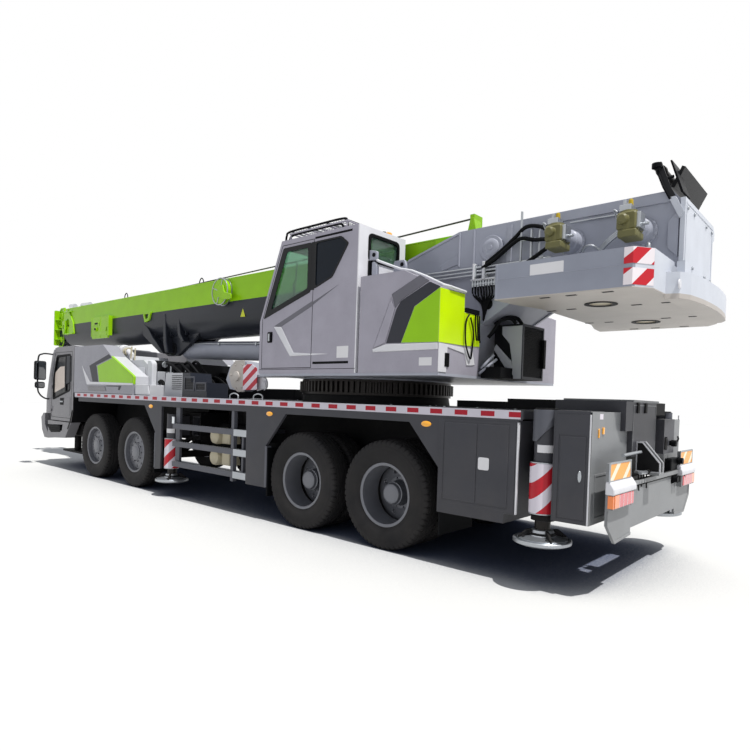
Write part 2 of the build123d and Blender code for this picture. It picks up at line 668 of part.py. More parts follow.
cab_outer = side_plate(CAB_SIDE, -CAB_HALF, CAB_HALF) & floor_plate(CAB_PLAN, 0, 3000)
cab_inner_side = [
    (CAB_REAR_X + CAB_WALL, 1260), (8470, CAB_FLOOR_Z + CAB_WALL),
    (9800, CAB_FLOOR_Z + CAB_WALL), (9780, 1490), (9700, 1640),
    (9300, CAB_ROOF_Z - CAB_WALL - 15), (9190, CAB_ROOF_Z - CAB_WALL),
    (CAB_REAR_X + CAB_WALL, CAB_ROOF_Z - CAB_WALL)]
cab_inner_plan = [
    (CAB_REAR_X, -CAB_HALF + CAB_WALL), (9480, -CAB_HALF + CAB_WALL),
    (9855, -CAB_HALF + 300), (9855, CAB_HALF - 300), (9480, CAB_HALF - CAB_WALL),
    (CAB_REAR_X, CAB_HALF - CAB_WALL)]
cab_inner = side_plate(cab_inner_side, -CAB_HALF, CAB_HALF) & floor_plate(cab_inner_plan, 0, 3000)
DOOR_SIDE = [
    (8450, 1080), (DOOR_FRONT_X, 1080), (DOOR_FRONT_X, 1900), (9300, 2450), (8450, 2450)]
DOOR_WINDOW = [(8530, 1660), (9400, 1460), (9400, 1880), (9235, 2370), (8530, 2390)]


def grown(points, step):
    """An outline moved outwards by a step, or inwards for a negative one, edge by edge."""
    area = sum(p[0] * q[1] - q[0] * p[1] for p, q in zip(points, points[1:] + points[:1]))
    sign = math.copysign(step, 1) if step * area > 0 else -abs(step)
    moved = []
    count = len(points)
    for i in range(count):
        (ax, az), (bx, bz), (cx, cz) = points[i - 1], points[i], points[(i + 1) % count]
        d1, d2 = math.hypot(bx - ax, bz - az), math.hypot(cx - bx, cz - bz)
        n1 = ((bz - az) / d1, (ax - bx) / d1)
        n2 = ((cz - bz) / d2, (bx - cx) / d2)
        share = sign / (1 + n1[0] * n2[0] + n1[1] * n2[1])
        moved.append((bx + (n1[0] + n2[0]) * share, bz + (n1[1] + n2[1]) * share))
    return moved


DOOR_Y0 = CAB_HALF - CAB_WALL
door_way = side_plate(grown(DOOR_SIDE, RUN), DOOR_Y0 - 10, CAB_HALF + 10)
screen = block(9200, 9950, -1060, 1060, 1720, 2440)
rear_window = block(CAB_REAR_X - 10, CAB_REAR_X + 60, -700, 700, 1900, 2380)
cab_shell = cut(cab_outer - cab_inner, [door_way, other_side(door_way), screen, rear_window])
hinge_halves = []
for hinge_z in HINGE_Z:
    hinge_halves.append(bar((HINGE_X, HINGE_Y, hinge_z - 60 - FIT), (HINGE_X, HINGE_Y, hinge_z - FIT), 14))
    hinge_halves.append(block(HINGE_X, HINGE_X + 60, CAB_HALF - 30, HINGE_Y, hinge_z - 60 - FIT,
                              hinge_z - FIT))
mounts_below = both(block(8500, 9500, 440, 500, 960, CAB_FLOOR_Z))
hinge_pieces = hinge_halves + [other_side(h) for h in hinge_halves]
keep("cab_shell", fused([cab_shell] + hinge_pieces + mounts_below))

door_panel = side_plate(DOOR_SIDE, DOOR_Y0, CAB_HALF) - side_plate(DOOR_WINDOW, DOOR_Y0 - 5, CAB_HALF + 5)
door_hinges = []
for hinge_z in HINGE_Z:
    door_hinges.append(bar((HINGE_X, HINGE_Y, hinge_z), (HINGE_X, HINGE_Y, hinge_z + 60), 14))
    door_hinges.append(block(HINGE_X - 60, HINGE_X, CAB_HALF - 20, HINGE_Y, hinge_z, hinge_z + 60))
door_pane = side_plate(grown(DOOR_WINDOW, -FIT), CAB_HALF - 25, CAB_HALF - 15)
door = fused([door_panel] + door_hinges)
keep("cab_door_left", [door, door_pane])
keep("cab_door_right", [other_side(door), other_side(door_pane)])

SCREEN_Z = (1720 + FIT, 2440 - FIT)
screen_x = [9750 - (z - 1650) * 420 / (CAB_ROOF_Z - 20 - 1650) for z in SCREEN_Z]
pane_front = side_plate([(screen_x[0] - 10, SCREEN_Z[0]), (screen_x[1] - 10, SCREEN_Z[1]),
                         (screen_x[1] - 24, SCREEN_Z[1]), (screen_x[0] - 24, SCREEN_Z[0])],
                        -1060 + FIT, 1060 - FIT)
pane_rear = block(CAB_REAR_X + 15, CAB_REAR_X + 25, -700 + FIT, 700 - FIT, 1900 + FIT, 2380 - FIT)
keep("cab_glass", [pane_front, pane_rear])

# Inside the carrier cab: floor, two seats, dash and steering wheel
seats = []
for seat_y in (620, -620):
    cushion = block(8620, 9120, seat_y - 250, seat_y + 250, 1300, 1430)
    back = side_plate([(8560, 1300), (8660, 1300), (8600, 2060), (8500, 2060)],
                      seat_y - 240, seat_y + 240)
    base = block(8680, 9060, seat_y - 180, seat_y + 180, CAB_FLOOR_Z + CAB_WALL, 1300)
    seats.append(fused([cushion, back, base]))
dash = side_plate([(9420, 1440), (9690, 1640), (9640, CAB_FLOOR_Z + CAB_WALL),
                   (9480, CAB_FLOOR_Z + CAB_WALL)], -1050, 1050)
column = bar((9480, 620, 1450), (9330, 620, 1650), 25)
wheel_rim = Solid.make_torus(215, 16, Plane(origin=(9330, 620, 1650), z_dir=(-150, 0, 200)))
spoke = bar((9330 - 170, 620, 1650 - 128), (9330 + 170, 620, 1650 + 128), 12)
keep("cab_interior", seats + [fused([dash, column, spoke, wheel_rim])])

# Front bumper with headlamps and steps
bumper_side = [(9870, 600), (10020, 770), (10080, 1040), (9950, 1140), (9860, 1140), (9860, 900),
               (9660, 690), (9660, 600)]
front = side_plate(bumper_side, -1360, 1360)
wing = side_plate([(8720, 660), (9660, 610), (9660, 990), (8440, 990), (8580, 830)], 1180, 1370)
step_hole = side_plate([(8900, 800), (9500, 780), (9600, 900), (8860, 930)], 1200, 1380)
wings = both(wing - step_hole)
stay = both(block(TONGUE_X, 9870, 440, 510, 720, 900))
keep("front_bumper", fused([front] + wings + stay))

# Mirrors on arms ahead of the doors
MIRROR_Y = CAB_HALF + 250
mirror_head = block(9600, 9660, MIRROR_Y - 120, MIRROR_Y + 110, 1860, 2270)
small_head = block(9600, 9660, MIRROR_Y - 100, MIRROR_Y + 90, 1680, 1820)
arm_top = bar((9520, CAB_HALF - 170, 2390), (9630, MIRROR_Y, 2390), 14)
arm_down = bar((9630, MIRROR_Y, 2390), (9630, MIRROR_Y, 1540), 14)
arm_low = bar((9630, MIRROR_Y, 1540), (9560, CAB_HALF - 130, 1500), 14)
mirror_set = fused([mirror_head, small_head, arm_down, arm_top, arm_low]) - cab_outer
keep("cab_mirrors", both(mirror_set))

# Engine, as one plain block on the frame, and its covers
keep("engine_block", block(ENGINE_X0, ENGINE_X1, -RAIL_Y0 + FIT, RAIL_Y0 - FIT, ENGINE_Z0, ENGINE_Z1))
FAIRING_SIDE = [(8260, DECK_Z), (8260, 2540), (6990, 2540), (6600, 2300), (5760, 1940), (5760, DECK_Z)]
HOOD_Y = HALF_WIDTH - 290
HOOD_TOP = 2250
fairing = side_plate(FAIRING_SIDE, HOOD_Y + 10, HALF_WIDTH)
hood = side_plate([(5830, DECK_Z), (8250, DECK_Z), (8250, HOOD_TOP), (7380, HOOD_TOP), (5980, HOOD_TOP),
                   (5840, HOOD_TOP - 80)], -HOOD_Y, HOOD_Y)
hood = hood - block(5930, 8150, 110 - HOOD_Y, HOOD_Y - 110, DECK_Z - 210, HOOD_TOP - 50)
rest = side_plate([(6700, HOOD_TOP), (7400, HOOD_TOP), (7350, HOOD_TOP + 110), (6750, HOOD_TOP + 110)],
                  200, HOOD_Y - 110)
louvre_box = side_plate([(3950, DECK_Z), (5260, DECK_Z), (5200, 2010), (4450, 2010),
                         (4400, 1850), (3950, 1850)], HOOD_Y - 410, HOOD_Y - 10)
side_step = block(5270, 5740, HALF_WIDTH - 500, HALF_WIDTH - 40, DECK_Z, DECK_Z + 180)
keep("engine_covers", [fused([hood, fairing, other_side(fairing), rest]), louvre_box, side_step])

# Turntable: base plate, two side plates, cross members and the boom's foot pin
PLATE_SIDE = [
    (-500, BASE_TOP), (2230, BASE_TOP), (2230, 2300), (2080, 2520), (900, 3000),
    (430, 3440), (-320, 3670), (-2620, 3680), (-2700, 3580), (-2700, CW_SIDE_Z1 - 40),
    (-1300, CW_SIDE_Z1 - 40), (-650, 2560)]
plate = side_plate(PLATE_SIDE, PLATE_Y - PLATE_T, PLATE_Y)
INNER_Y = PLATE_Y - PLATE_T + 5
plates = both(plate)
base = bar((SLEW_X, 0, BASE_Z), (SLEW_X, 0, BASE_TOP), 1130)
BASE_Y = HALF_WIDTH - 10
base_tail = block(-690, SLEW_X, -BASE_Y, BASE_Y, BASE_Z, BASE_TOP)
base_front = block(SLEW_X, 2240, -700, BASE_Y, BASE_Z, BASE_TOP)
collar = bar((SLEW_X, 0, RING_Z1 + FIT), (SLEW_X, 0, BASE_Z), RING_R - 60)
CROSS_TUBES = (
    # x, z, radius
    (-330, 2560, 60), (-1330, 3560, 40), (-2040, 3060, 40), (150, 2250, 80),
)
tubes = []
for tube_x, tube_z, tube_r in CROSS_TUBES:
    tubes.append(bar((tube_x, -INNER_Y, tube_z), (tube_x, INNER_Y, tube_z), tube_r))
foot_pin = bar((FOOT_PIN_X, -PLATE_Y - 60, FOOT_PIN_Z), (FOOT_PIN_X, PLATE_Y + 60, FOOT_PIN_Z),
               FOOT_PIN_R)
bosses = both(bar((FOOT_PIN_X, PLATE_Y, FOOT_PIN_Z), (FOOT_PIN_X, PLATE_Y + 40, FOOT_PIN_Z), 140))
lift_pin = bar((LIFT_FOOT_X, -INNER_Y, LIFT_FOOT_Z), (LIFT_FOOT_X, INNER_Y, LIFT_FOOT_Z), LIFT_PIN_R)
hook_arm = block(2240, HOOK_ARM_X, 900, 1120, BASE_Z, BASE_TOP)
BELLY = [
    # x, z of the bent plate that closes the frame's belly
    (-480, BASE_TOP - 4), (-640, 2572), (-1290, 2962), (-1290, 2992), (-618, 2588), (-452, BASE_TOP - 4)]
belly = side_plate(BELLY, -INNER_Y, INNER_Y)
STRIP_T = 25
strip = side_plate([(-1250, 3570), (-1250, 3655), (-2600, 3660), (-2660, 3570)], PLATE_Y, PLATE_Y + STRIP_T)
strap = block(-1010, -960, PLATE_Y, PLATE_Y + STRIP_T, 3230, 3640)
heel = side_plate([(-2690, 3480), (-2600, 3390), (-2600, 3150), (-2690, 3060)], PLATE_Y, PLATE_Y + STRIP_T)
outer_ribs = both(strip) + both(strap) + both(heel)
eye_holes = [bar((-730, -PLATE_Y - 5, 2800), (-730, PLATE_Y + 5, 2800), 62)]
turntable = fused([base, base_tail, base_front, collar] + plates + tubes
                  + [foot_pin, lift_pin, hook_arm] + bosses + [belly] + outer_ribs)
keep("turntable_frame", cut(turntable, eye_holes))

# Winch drums on shafts between the side plates
SHAFT_R_DRUM = 60
for name, drum_x in zip(("main_winch_drum", "auxiliary_winch_drum"), DRUM_X):
    half = PLATE_Y - PLATE_T - RUN
    drum = ring_of([(-half, 0), (-half, DRUM_FLANGE_R), (-half + 25, DRUM_FLANGE_R),
                    (-half + 25, DRUM_ROPE_R), (half - 25, DRUM_ROPE_R),
                    (half - 25, DRUM_FLANGE_R), (half, DRUM_FLANGE_R), (half, 0)],
                   (drum_x, 0, DRUM_Z))
    stub = bar((drum_x, -half - RUN + FIT, DRUM_Z), (drum_x, half + RUN - FIT, DRUM_Z), SHAFT_R_DRUM)
    keep(name, drum + stub)

# Winch drives on the left of the plates
drives = []
for drum_x in DRUM_X:
    case = bar((drum_x, PLATE_Y, DRUM_Z), (drum_x, 760, DRUM_Z), 190)
    motor = block(drum_x - 90, drum_x + 90, 760, 1050, DRUM_Z - 110, DRUM_Z + 110)
    drives.append(fused([case, motor]))
keep("winch_drives", drives)

# Operator's cab
OPCAB_SIDE = [
    (OPCAB_REAR_X, OPCAB_Z0), (OPCAB_FRONT_X, OPCAB_Z0), (OPCAB_FRONT_X, OPCAB_SILL_Z),
    (OPCAB_TOP_X, OPCAB_Z1), (OPCAB_REAR_X, OPCAB_Z1)]
opcab_inner = [
    (OPCAB_REAR_X + OPCAB_WALL, OPCAB_Z0 + OPCAB_WALL), (OPCAB_FRONT_X - OPCAB_WALL, OPCAB_Z0 + OPCAB_WALL),
    (OPCAB_FRONT_X - OPCAB_WALL, OPCAB_SILL_Z - 8), (OPCAB_TOP_X - OPCAB_WALL + 8, OPCAB_Z1 - OPCAB_WALL),
    (OPCAB_REAR_X + OPCAB_WALL, OPCAB_Z1 - OPCAB_WALL)]
OPCAB_INNER_Y = HALF_WIDTH - OPCAB_WALL
opcab = side_plate(OPCAB_SIDE, OPCAB_Y0, HALF_WIDTH)
opcab = opcab - side_plate(opcab_inner, OPCAB_Y0 + OPCAB_WALL, OPCAB_INNER_Y)
OPDOOR_SIDE = [(1225, 2045), (2190, 2045), (2190, 2690), (1815, 3620), (1225, 3620)]
FRONT_PANE = [(1270, 2990), (2145, 2715), (1790, 3575), (1270, 3575)]
QUARTER_PANE = [(1190, 3015), (1190, 3575), (760, 3575), (640, 3490), (890, 3130)]
opdoor_way = side_plate(grown(OPDOOR_SIDE, FIT), OPCAB_INNER_Y - 5, HALF_WIDTH + 5)
quarter = side_plate(QUARTER_PANE, OPCAB_INNER_Y - 5, HALF_WIDTH + 5)
boom_window = side_plate([(620, 2750), (1250, 2750), (1250, 3575), (620, 3575)], OPCAB_Y0 - 5,
                         OPCAB_Y0 + OPCAB_WALL + 5)
upper_screen = end_plate([(OPCAB_Y0 + 50, 2720), (HALF_WIDTH - 60, 2720), (HALF_WIDTH - 60, 3600),
                          (OPCAB_Y0 + 50, 3600)], OPCAB_TOP_X - 10, OPCAB_FRONT_X + 20)
lower_screen = end_plate([(OPCAB_Y0 + 60, 2200), (HALF_WIDTH - 70, 2200), (HALF_WIDTH - 70, 2600),
                          (OPCAB_Y0 + 60, 2600)], OPCAB_FRONT_X - OPCAB_WALL - 5, OPCAB_FRONT_X + 5)
op_rear = end_plate([(690, 3320), (1220, 3320), (1220, 3590), (690, 3590)],
                    OPCAB_REAR_X - 5, OPCAB_REAR_X + OPCAB_WALL + 5)
opcab = cut(opcab, [opdoor_way, quarter, boom_window, upper_screen, lower_screen, op_rear])
guard = []
for guard_y in (OPCAB_Y0 + 60, HALF_WIDTH - 60):
    guard.append(bar((700, guard_y, OPCAB_Z1 + 90), (1750, guard_y, OPCAB_Z1 + 90), 12))
    for guard_x in (720, 1730):
        guard.append(bar((guard_x, guard_y, OPCAB_Z1 - 5), (guard_x, guard_y, OPCAB_Z1 + 90), 12))
for i in range(7):
    guard_x = 720 + i * (1730 - 720) / 6
    guard.append(bar((guard_x, OPCAB_Y0 + 60, OPCAB_Z1 + 90), (guard_x, HALF_WIDTH - 60, OPCAB_Z1 + 90), 10))
keep("operator_cab_shell", fused([opcab] + guard))

opdoor = side_plate(OPDOOR_SIDE, OPCAB_INNER_Y, HALF_WIDTH)
opdoor = opdoor - side_plate(FRONT_PANE, OPCAB_INNER_Y - 5, HALF_WIDTH + 5)
keep("operator_cab_door", opdoor)


def pane_y(points, y):
    """A window pane in a side wall."""
    return side_plate(grown(points, -FIT), y, y + 8)


op_panes = [
    pane_y(FRONT_PANE, HALF_WIDTH - 24), pane_y(QUARTER_PANE, HALF_WIDTH - 24),
    pane_y([(620, 2750), (1250, 2750), (1250, 3575), (620, 3575)], OPCAB_Y0 + 16),
    end_plate([(690 + FIT, 3320 + FIT), (1220 - FIT, 3320 + FIT), (1220 - FIT, 3590 - FIT),
               (690 + FIT, 3590 - FIT)], OPCAB_REAR_X + 16, OPCAB_REAR_X + 24),
    end_plate([(OPCAB_Y0 + 60 + FIT, 2200 + FIT), (HALF_WIDTH - 70 - FIT, 2200 + FIT),
               (HALF_WIDTH - 70 - FIT, 2600 - FIT), (OPCAB_Y0 + 60 + FIT, 2600 - FIT)],
              OPCAB_FRONT_X - 24, OPCAB_FRONT_X - 16),
]
slope = (OPCAB_FRONT_X - OPCAB_TOP_X) / (OPCAB_Z1 - OPCAB_SILL_Z)
pane_low = OPCAB_FRONT_X - slope * (2720 - OPCAB_SILL_Z) - 15
pane_high = OPCAB_FRONT_X - slope * (3600 - OPCAB_SILL_Z) - 15
op_panes.append(side_plate([(pane_low, 2720 + FIT), (pane_high, 3600 - FIT), (pane_high - 9, 3600 - FIT),
                            (pane_low - 9, 2720 + FIT)], OPCAB_Y0 + 50 + FIT, HALF_WIDTH - 60 - FIT))
keep("operator_cab_glass", op_panes)

op_seat_y = (OPCAB_Y0 + HALF_WIDTH) / 2
op_cushion = block(900, 1400, op_seat_y - 240, op_seat_y + 240, 2440, 2570)
op_back = side_plate([(860, 2440), (980, 2440), (880, 3180), (780, 3180)], op_seat_y - 230, op_seat_y + 230)
op_base = block(960, 1340, op_seat_y - 180, op_seat_y + 180, OPCAB_Z0 + OPCAB_WALL, 2440)
console = block(1750, 1900, op_seat_y - 200, op_seat_y + 200, OPCAB_Z0 + OPCAB_WALL, 2560)
keep("operator_cab_interior", [fused([op_cushion, op_back, op_base]), console])

# Side fairings of the turntable
FAIR_SIDE = [(420, BASE_TOP), (420, 3070), (-210, 3070), (-690, 2850), (-690, BASE_TOP)]
FAIR_NOTCH_Y = 930
low_side = [(420, BASE_TOP), (420, 2650), (-690, 2650), (-690, BASE_TOP)]
left_fair = side_plate(FAIR_SIDE, FAIR_NOTCH_Y, HALF_WIDTH) + side_plate(low_side, 600, FAIR_NOTCH_Y)
right_fair = side_plate(FAIR_SIDE, -HALF_WIDTH, -640)
keep("turntable_fairings", [left_fair, right_fair])

# Counterweight
CW_PLAN = [
    # x, y of the underside
    (-1350, 1060), (-1310, CW_SIDE_Y), (-2570, CW_SIDE_Y), (-2690, CW_SIDE_Y - 170), (-2700, 800),
    (-2700, -800), (-2690, 170 - CW_SIDE_Y), (-2570, -CW_SIDE_Y), (-1310, -CW_SIDE_Y), (-1350, -1060),
    (-1460, -680), (-1460, 680)]
slab = floor_plate(CW_PLAN, CW_Z0, CW_Z1)
sides = both(floor_plate([(-1310, 620), (-1310, CW_SIDE_Y), (-2570, CW_SIDE_Y), (-2690, CW_SIDE_Y - 170),
                          (-2690, 620)], CW_Z1, CW_SIDE_Z1))
CW_BAND = [
    # x, y of the curved band across the tail
    (-2690, 900), (-2800, 860), (-2860, 740), (-2895, 500), (-2913, 250), (TAIL_X, 0),
    (-2913, -250), (-2895, -500), (-2860, -740), (-2800, -860), (-2690, -900)]
band = floor_plate(CW_BAND, CW_BAND_Z0, CW_BAND_Z1)
BACK_Y = 560
back = end_plate([(BACK_Y, CW_BAND_Z1 - 5), (BACK_Y, BACK_TOP_Z), (-BACK_Y, BACK_TOP_Z),
                  (-BACK_Y - 60, BACK_TOP_Z - 60), (-BACK_Y - 60, BACK_TOP_Z - 130), (-BACK_Y, BACK_TOP_Z - 170),
                  (-BACK_Y, CW_BAND_Z1 - 5)], -2745, -2705)
side_case = block(-2810, -2745, 540, 760, CW_BAND_Z1 - 5, 2965)
holes = [bar((-2075, hole_y, CW_Z0 - 5), (-2075, hole_y, CW_Z0 + 120), 110) for hole_y in (700, -700)]
CW_SLOTS = (
    # x, y of the lifting slots
    (-1500, 520), (-1720, 540), (-1770, 1270), (-2020, 1270), (-2340, 1270), (-2340, 500), (-2610, 500))
for slot_x, slot_y in CW_SLOTS:
    for side in (1, -1):
        slot_mid = side * slot_y
        holes.append(block(slot_x - 45, slot_x + 45, slot_mid - 18, slot_mid + 18, CW_Z0 - 5, CW_Z0 + 60))
ARM_Y = 500
ROLLER_Z = BACK_TOP_Z + 315
arm = side_plate([(-2740, BACK_TOP_Z - 135), (-2620, BACK_TOP_Z + 105), (-2530, ROLLER_Z + 40),
                  (-2470, ROLLER_Z + 40), (-2500, ROLLER_Z - 40), (-2560, BACK_TOP_Z + 105),
                  (-2700, BACK_TOP_Z - 185)], 0, 30)
arms = [arm.moved(Location((0, y, 0))) for y in (ARM_Y + STRIP_T + 25, -ARM_Y - STRIP_T - 55)]
roller = bar((-2500, -ARM_Y - STRIP_T - 60, ROLLER_Z), (-2500, ARM_Y + STRIP_T + 70, ROLLER_Z), 38)
rear_panel = side_plate([(-2560, ROLLER_Z - 130), (-2650, ROLLER_Z + 50), (-2680, ROLLER_Z + 35),
                         (-2590, ROLLER_Z - 145)],
                        -ARM_Y - 50, ARM_Y - 150)
keep("counterweight", cut(fused([slab, band, back, side_case, roller, rear_panel] + sides + arms), holes))

# Oil cooler behind the base, on the tail of the plates
cooler = block(-1050, -700, -250, 280, 1955, 2580)
cooler_foot = block(-700, -545, -200, 230, BASE_TOP, 2060)
cooler_tray = block(-950, -700, 275, 560, 1955, 2075)
cooler_side = block(-1095, -1045, -250, -200, 2100, 2440)
keep("oil_cooler", fused([cooler, cooler_foot, cooler_tray, cooler_side]))

# Hydraulic pipes beside the plates
pipes = []
for pipe_z in (3120, 3160, 3200):
    pipes.append(bar((OPCAB_REAR_X, 590, pipe_z), (-1500, 590, pipe_z), 14))
for clamp_x in (200, -600, -1400):
    pipes.append(block(clamp_x - 20, clamp_x + 20, PLATE_Y, 610, 3095, 3225))
keep("hydraulic_pipes", fused(pipes))

# Hook block hung at the front of the turntable
hook_body = side_plate([(2800, 1960), (2900, 2160), (3100, 2190), (3300, 2110), (3400, 1900),
                        (3300, 1760), (3050, 1730), (2860, 1790)], 900, 1120)
hook_body = hook_body - block(2700, HOOK_ARM_X + FIT, 880, 1140, BASE_Z - FIT, BASE_TOP + FIT)
keep("hook_block", hook_body)


# Boom: hollow sections that slide in one another
def boom_face(half, top, x):
    """A section's outline: flat top, straight sides and a half-round belly."""
    corners = [Vector(x, -half, BOOM_ARC_Z), Vector(x, -half, top), Vector(x, half, top),
               Vector(x, half, BOOM_ARC_Z)]
    edges = [Edge.make_line(a, b) for a, b in zip(corners, corners[1:])]
    edges.append(Edge.make_three_point_arc(corners[-1], Vector(x, 0, BOOM_ARC_Z - half), corners[0]))
    return Face(Wire(edges))


def boom_tube(half, top, wall, x0, x1):
    """A hollow length of boom."""
    outer = Solid.extrude(boom_face(half, top, x0), Vector(x1 - x0, 0, 0))
    inner = Solid.extrude(boom_face(half - wall, top - wall, x0 - 1), Vector(x1 - x0 + 2, 0, 0))
    return outer - inner


def boom_collar(half, top, inner_half, inner_top, x0, x1):
    """The thick end of a section, which carries the next one on its pads."""
    outer = Solid.extrude(boom_face(half, top, x0), Vector(x1 - x0, 0, 0))
    hole = Solid.extrude(boom_face(inner_half, inner_top, x0 - 1), Vector(x1 - x0 + 2, 0, 0))
    return outer - hole


for i in range(4):
    half, top = BOOM_HALF[i], BOOM_TOP[i]
    collar_x = BOOM_COLLAR_X[i]
    tube = boom_tube(half, top, BOOM_WALL, BOOM_TAIL_X[i], collar_x)
    end = boom_collar(half, top, BOOM_HALF[i + 1] + FIT, BOOM_TOP[i + 1] + FIT, collar_x,
                      collar_x + COLLAR_T)
    section = fused([tube, end])
    if i == 0:
        ears = []
        for side in (1, -1):
            inner_y, outer_y = side * (BOOM_HALF[0] - BOOM_WALL), side * (PLATE_Y - PLATE_T - RUN)
            low_y, high_y = min(inner_y, outer_y), max(inner_y, outer_y)
            ears.append(side_plate([(FOOT_PIN_X - 170, FOOT_PIN_Z - 60), (FOOT_PIN_X - 60, FOOT_PIN_Z - 180),
                                    (BOOM_TAIL_X[0] + 500, 2950), (BOOM_TAIL_X[0] + 500, 3640),
                                    (FOOT_PIN_X - 60, FOOT_PIN_Z + 180), (FOOT_PIN_X - 170, FOOT_PIN_Z + 60)],
                                   low_y, high_y))
        pin_hole = bar((FOOT_PIN_X, -600, FOOT_PIN_Z), (FOOT_PIN_X, 600, FOOT_PIN_Z), FOOT_PIN_R + FIT)
        keel = []
        for side in (1, -1):
            y_low = min(side * 185, side * 255)
            web = side_plate([(7700, 3040), (7450, 2760), (6650, 2400), (6300, 2400), (5600, 2760),
                              (5400, 3040)], y_low, y_low + 70)
            keel.append(web)
        inside = Solid.extrude(boom_face(half - BOOM_WALL, top - BOOM_WALL, BOOM_TAIL_X[0] - 1),
                               Vector(collar_x - BOOM_TAIL_X[0], 0, 0))
        for rib_x in (5900, 6450, 7050):
            keel.append(block(rib_x - 15, rib_x + 15, -330, 330, 2780, 3110))
        keel = [web - inside for web in keel]
        eye_slot = bar((LIFT_EYE_X, -300, LIFT_EYE_Z), (LIFT_EYE_X, 300, LIFT_EYE_Z), 60)
        section = cut(fused([section] + ears + keel), [pin_hole, eye_slot])
        keep("boom_base", section)
    else:
        keep(f"boom_section_{i + 1}", section)

tip = boom_tube(BOOM_HALF[4], BOOM_TOP[4], BOOM_WALL, BOOM_TAIL_X[4], BOOM_COLLAR_X[4])
head_plates = []
for side in (1, -1):
    low_y = min(side * 230, side * 260)
    head_plates.append(side_plate([(HEAD_X - 335, 2880), (HEAD_X - 240, 2750), (HEAD_X, 2760), (HEAD_X, 3700),
                                   (HEAD_X - 100, 3770), (HEAD_X - 300, 3770), (HEAD_X - 335, 3540)],
                                  low_y, low_y + 30))
end_face = boom_face(BOOM_HALF[4] - 5, BOOM_TOP[4] - 5, BOOM_COLLAR_X[4] - 40)
end_block = Solid.extrude(end_face, Vector(40, 0, 0))
SHEAVE_R = 160
SHEAVE_X = HEAD_X - 175
sheaves = []
for sheave_x, sheave_z in ((SHEAVE_X, 3560), (SHEAVE_X, 2960)):
    pin = bar((sheave_x, -240, sheave_z), (sheave_x, 240, sheave_z), 40)
    sheaves.append(pin)
    for i in range(4):
        sheave_y = -150 + 100 * i
        sheaves.append(ring_of([(-26, 0), (-26, SHEAVE_R), (-14, SHEAVE_R), (0, SHEAVE_R - 30), (14, SHEAVE_R),
                                (26, SHEAVE_R), (26, 0)], (sheave_x, sheave_y, sheave_z)))
keep("boom_section_5", fused([tip, end_block] + head_plates + sheaves))

# Fittings on the boom: jib lugs, rope reel and guide
fittings = []
for low_x, high_x, z0, z1 in ((JIB_PIN_X - 140, JIB_PIN_X + 720, 2850, 3340),
                              (BOOM_COLLAR_X[0] - 50, BOOM_COLLAR_X[0] + 100, 3030, 3370)):
    lug = side_plate([(low_x, z1), (high_x, z1), (high_x, z0 + 120), (high_x - 40, z0), (low_x + 40, z0),
                      (low_x, z0 + 120)], JIB_LUG_Y, JIB_LUG_Y + JIB_LUG_T)
    seat = block(low_x + 10, high_x - 10, BOOM_HALF[0], JIB_LUG_Y, z1 - 120, z1 - 40)
    pin_bore = bar((JIB_PIN_X, JIB_LUG_Y - 5, JIB_PIN_Z), (JIB_PIN_X, JIB_LUG_Y + JIB_LUG_T + 5, JIB_PIN_Z),
                   JIB_PIN_R)
    window = side_plate([(low_x + 60, z0 + 130), (low_x + 110, z0 + 130), (low_x + 110, z0 + 240),
                         (low_x + 60, z0 + 240)], JIB_LUG_Y - 5, JIB_LUG_Y + JIB_LUG_T + 5)
    fittings.append(cut(lug + seat, [pin_bore, window]))
reel = bar((4570, BOOM_HALF[0], 3450), (4570, BOOM_HALF[0] + 90, 3450), 200)
fittings.append(reel)
guide = block(-430, -370, 200, 380, 3680, 3900)
fittings.append(guide)
keep("boom_fittings", fittings)

# Lift cylinder
lift_length = math.hypot(LIFT_EYE_X - LIFT_FOOT_X, LIFT_EYE_Z - LIFT_FOOT_Z)
ux = (LIFT_EYE_X - LIFT_FOOT_X) / lift_length
uz = (LIFT_EYE_Z - LIFT_FOOT_Z) / lift_length


def along(distance):
    """A point on the cylinder's line, this far from its foot pin."""
    return (LIFT_FOOT_X + ux * distance, 0, LIFT_FOOT_Z + uz * distance)


BARREL_END = lift_length - 170
barrel = bar(along(60), along(BARREL_END), LIFT_BARREL_R)
barrel_eye = bar((LIFT_FOOT_X, -160, LIFT_FOOT_Z), (LIFT_FOOT_X, 160, LIFT_FOOT_Z), 120)
barrel = fused([barrel, barrel_eye])
barrel = cut(barrel, [bar((LIFT_FOOT_X, -300, LIFT_FOOT_Z), (LIFT_FOOT_X, 300, LIFT_FOOT_Z), LIFT_PIN_R + FIT),
                      bar(along(360), along(BARREL_END + 10), LIFT_ROD_R + FIT)])
keep("lift_cylinder_barrel", barrel)
rod = bar(along(400), along(lift_length - 60), LIFT_ROD_R)
rod_eye = bar((LIFT_EYE_X, -120, LIFT_EYE_Z), (LIFT_EYE_X, 120, LIFT_EYE_Z), 105)
rod = fused([rod, rod_eye])
keep("lift_cylinder_rod", cut(rod, [bar((LIFT_EYE_X, -200, LIFT_EYE_Z), (LIFT_EYE_X, 200, LIFT_EYE_Z), 60)]))

# Writing the parts
os.makedirs("parts", exist_ok=True)
for name, solids in nodes.items():
    moved = [solid.moved(Location((-CENTRE_X, 0, 0))) for solid in solids]
    shape = moved[0] if len(moved) == 1 else Compound(moved)
    export_step(shape, f"parts/{name}.step")
print(len(nodes), "parts")
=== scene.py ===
import math

import bmesh
import bpy
import numpy as np
from mathutils import Matrix, Vector


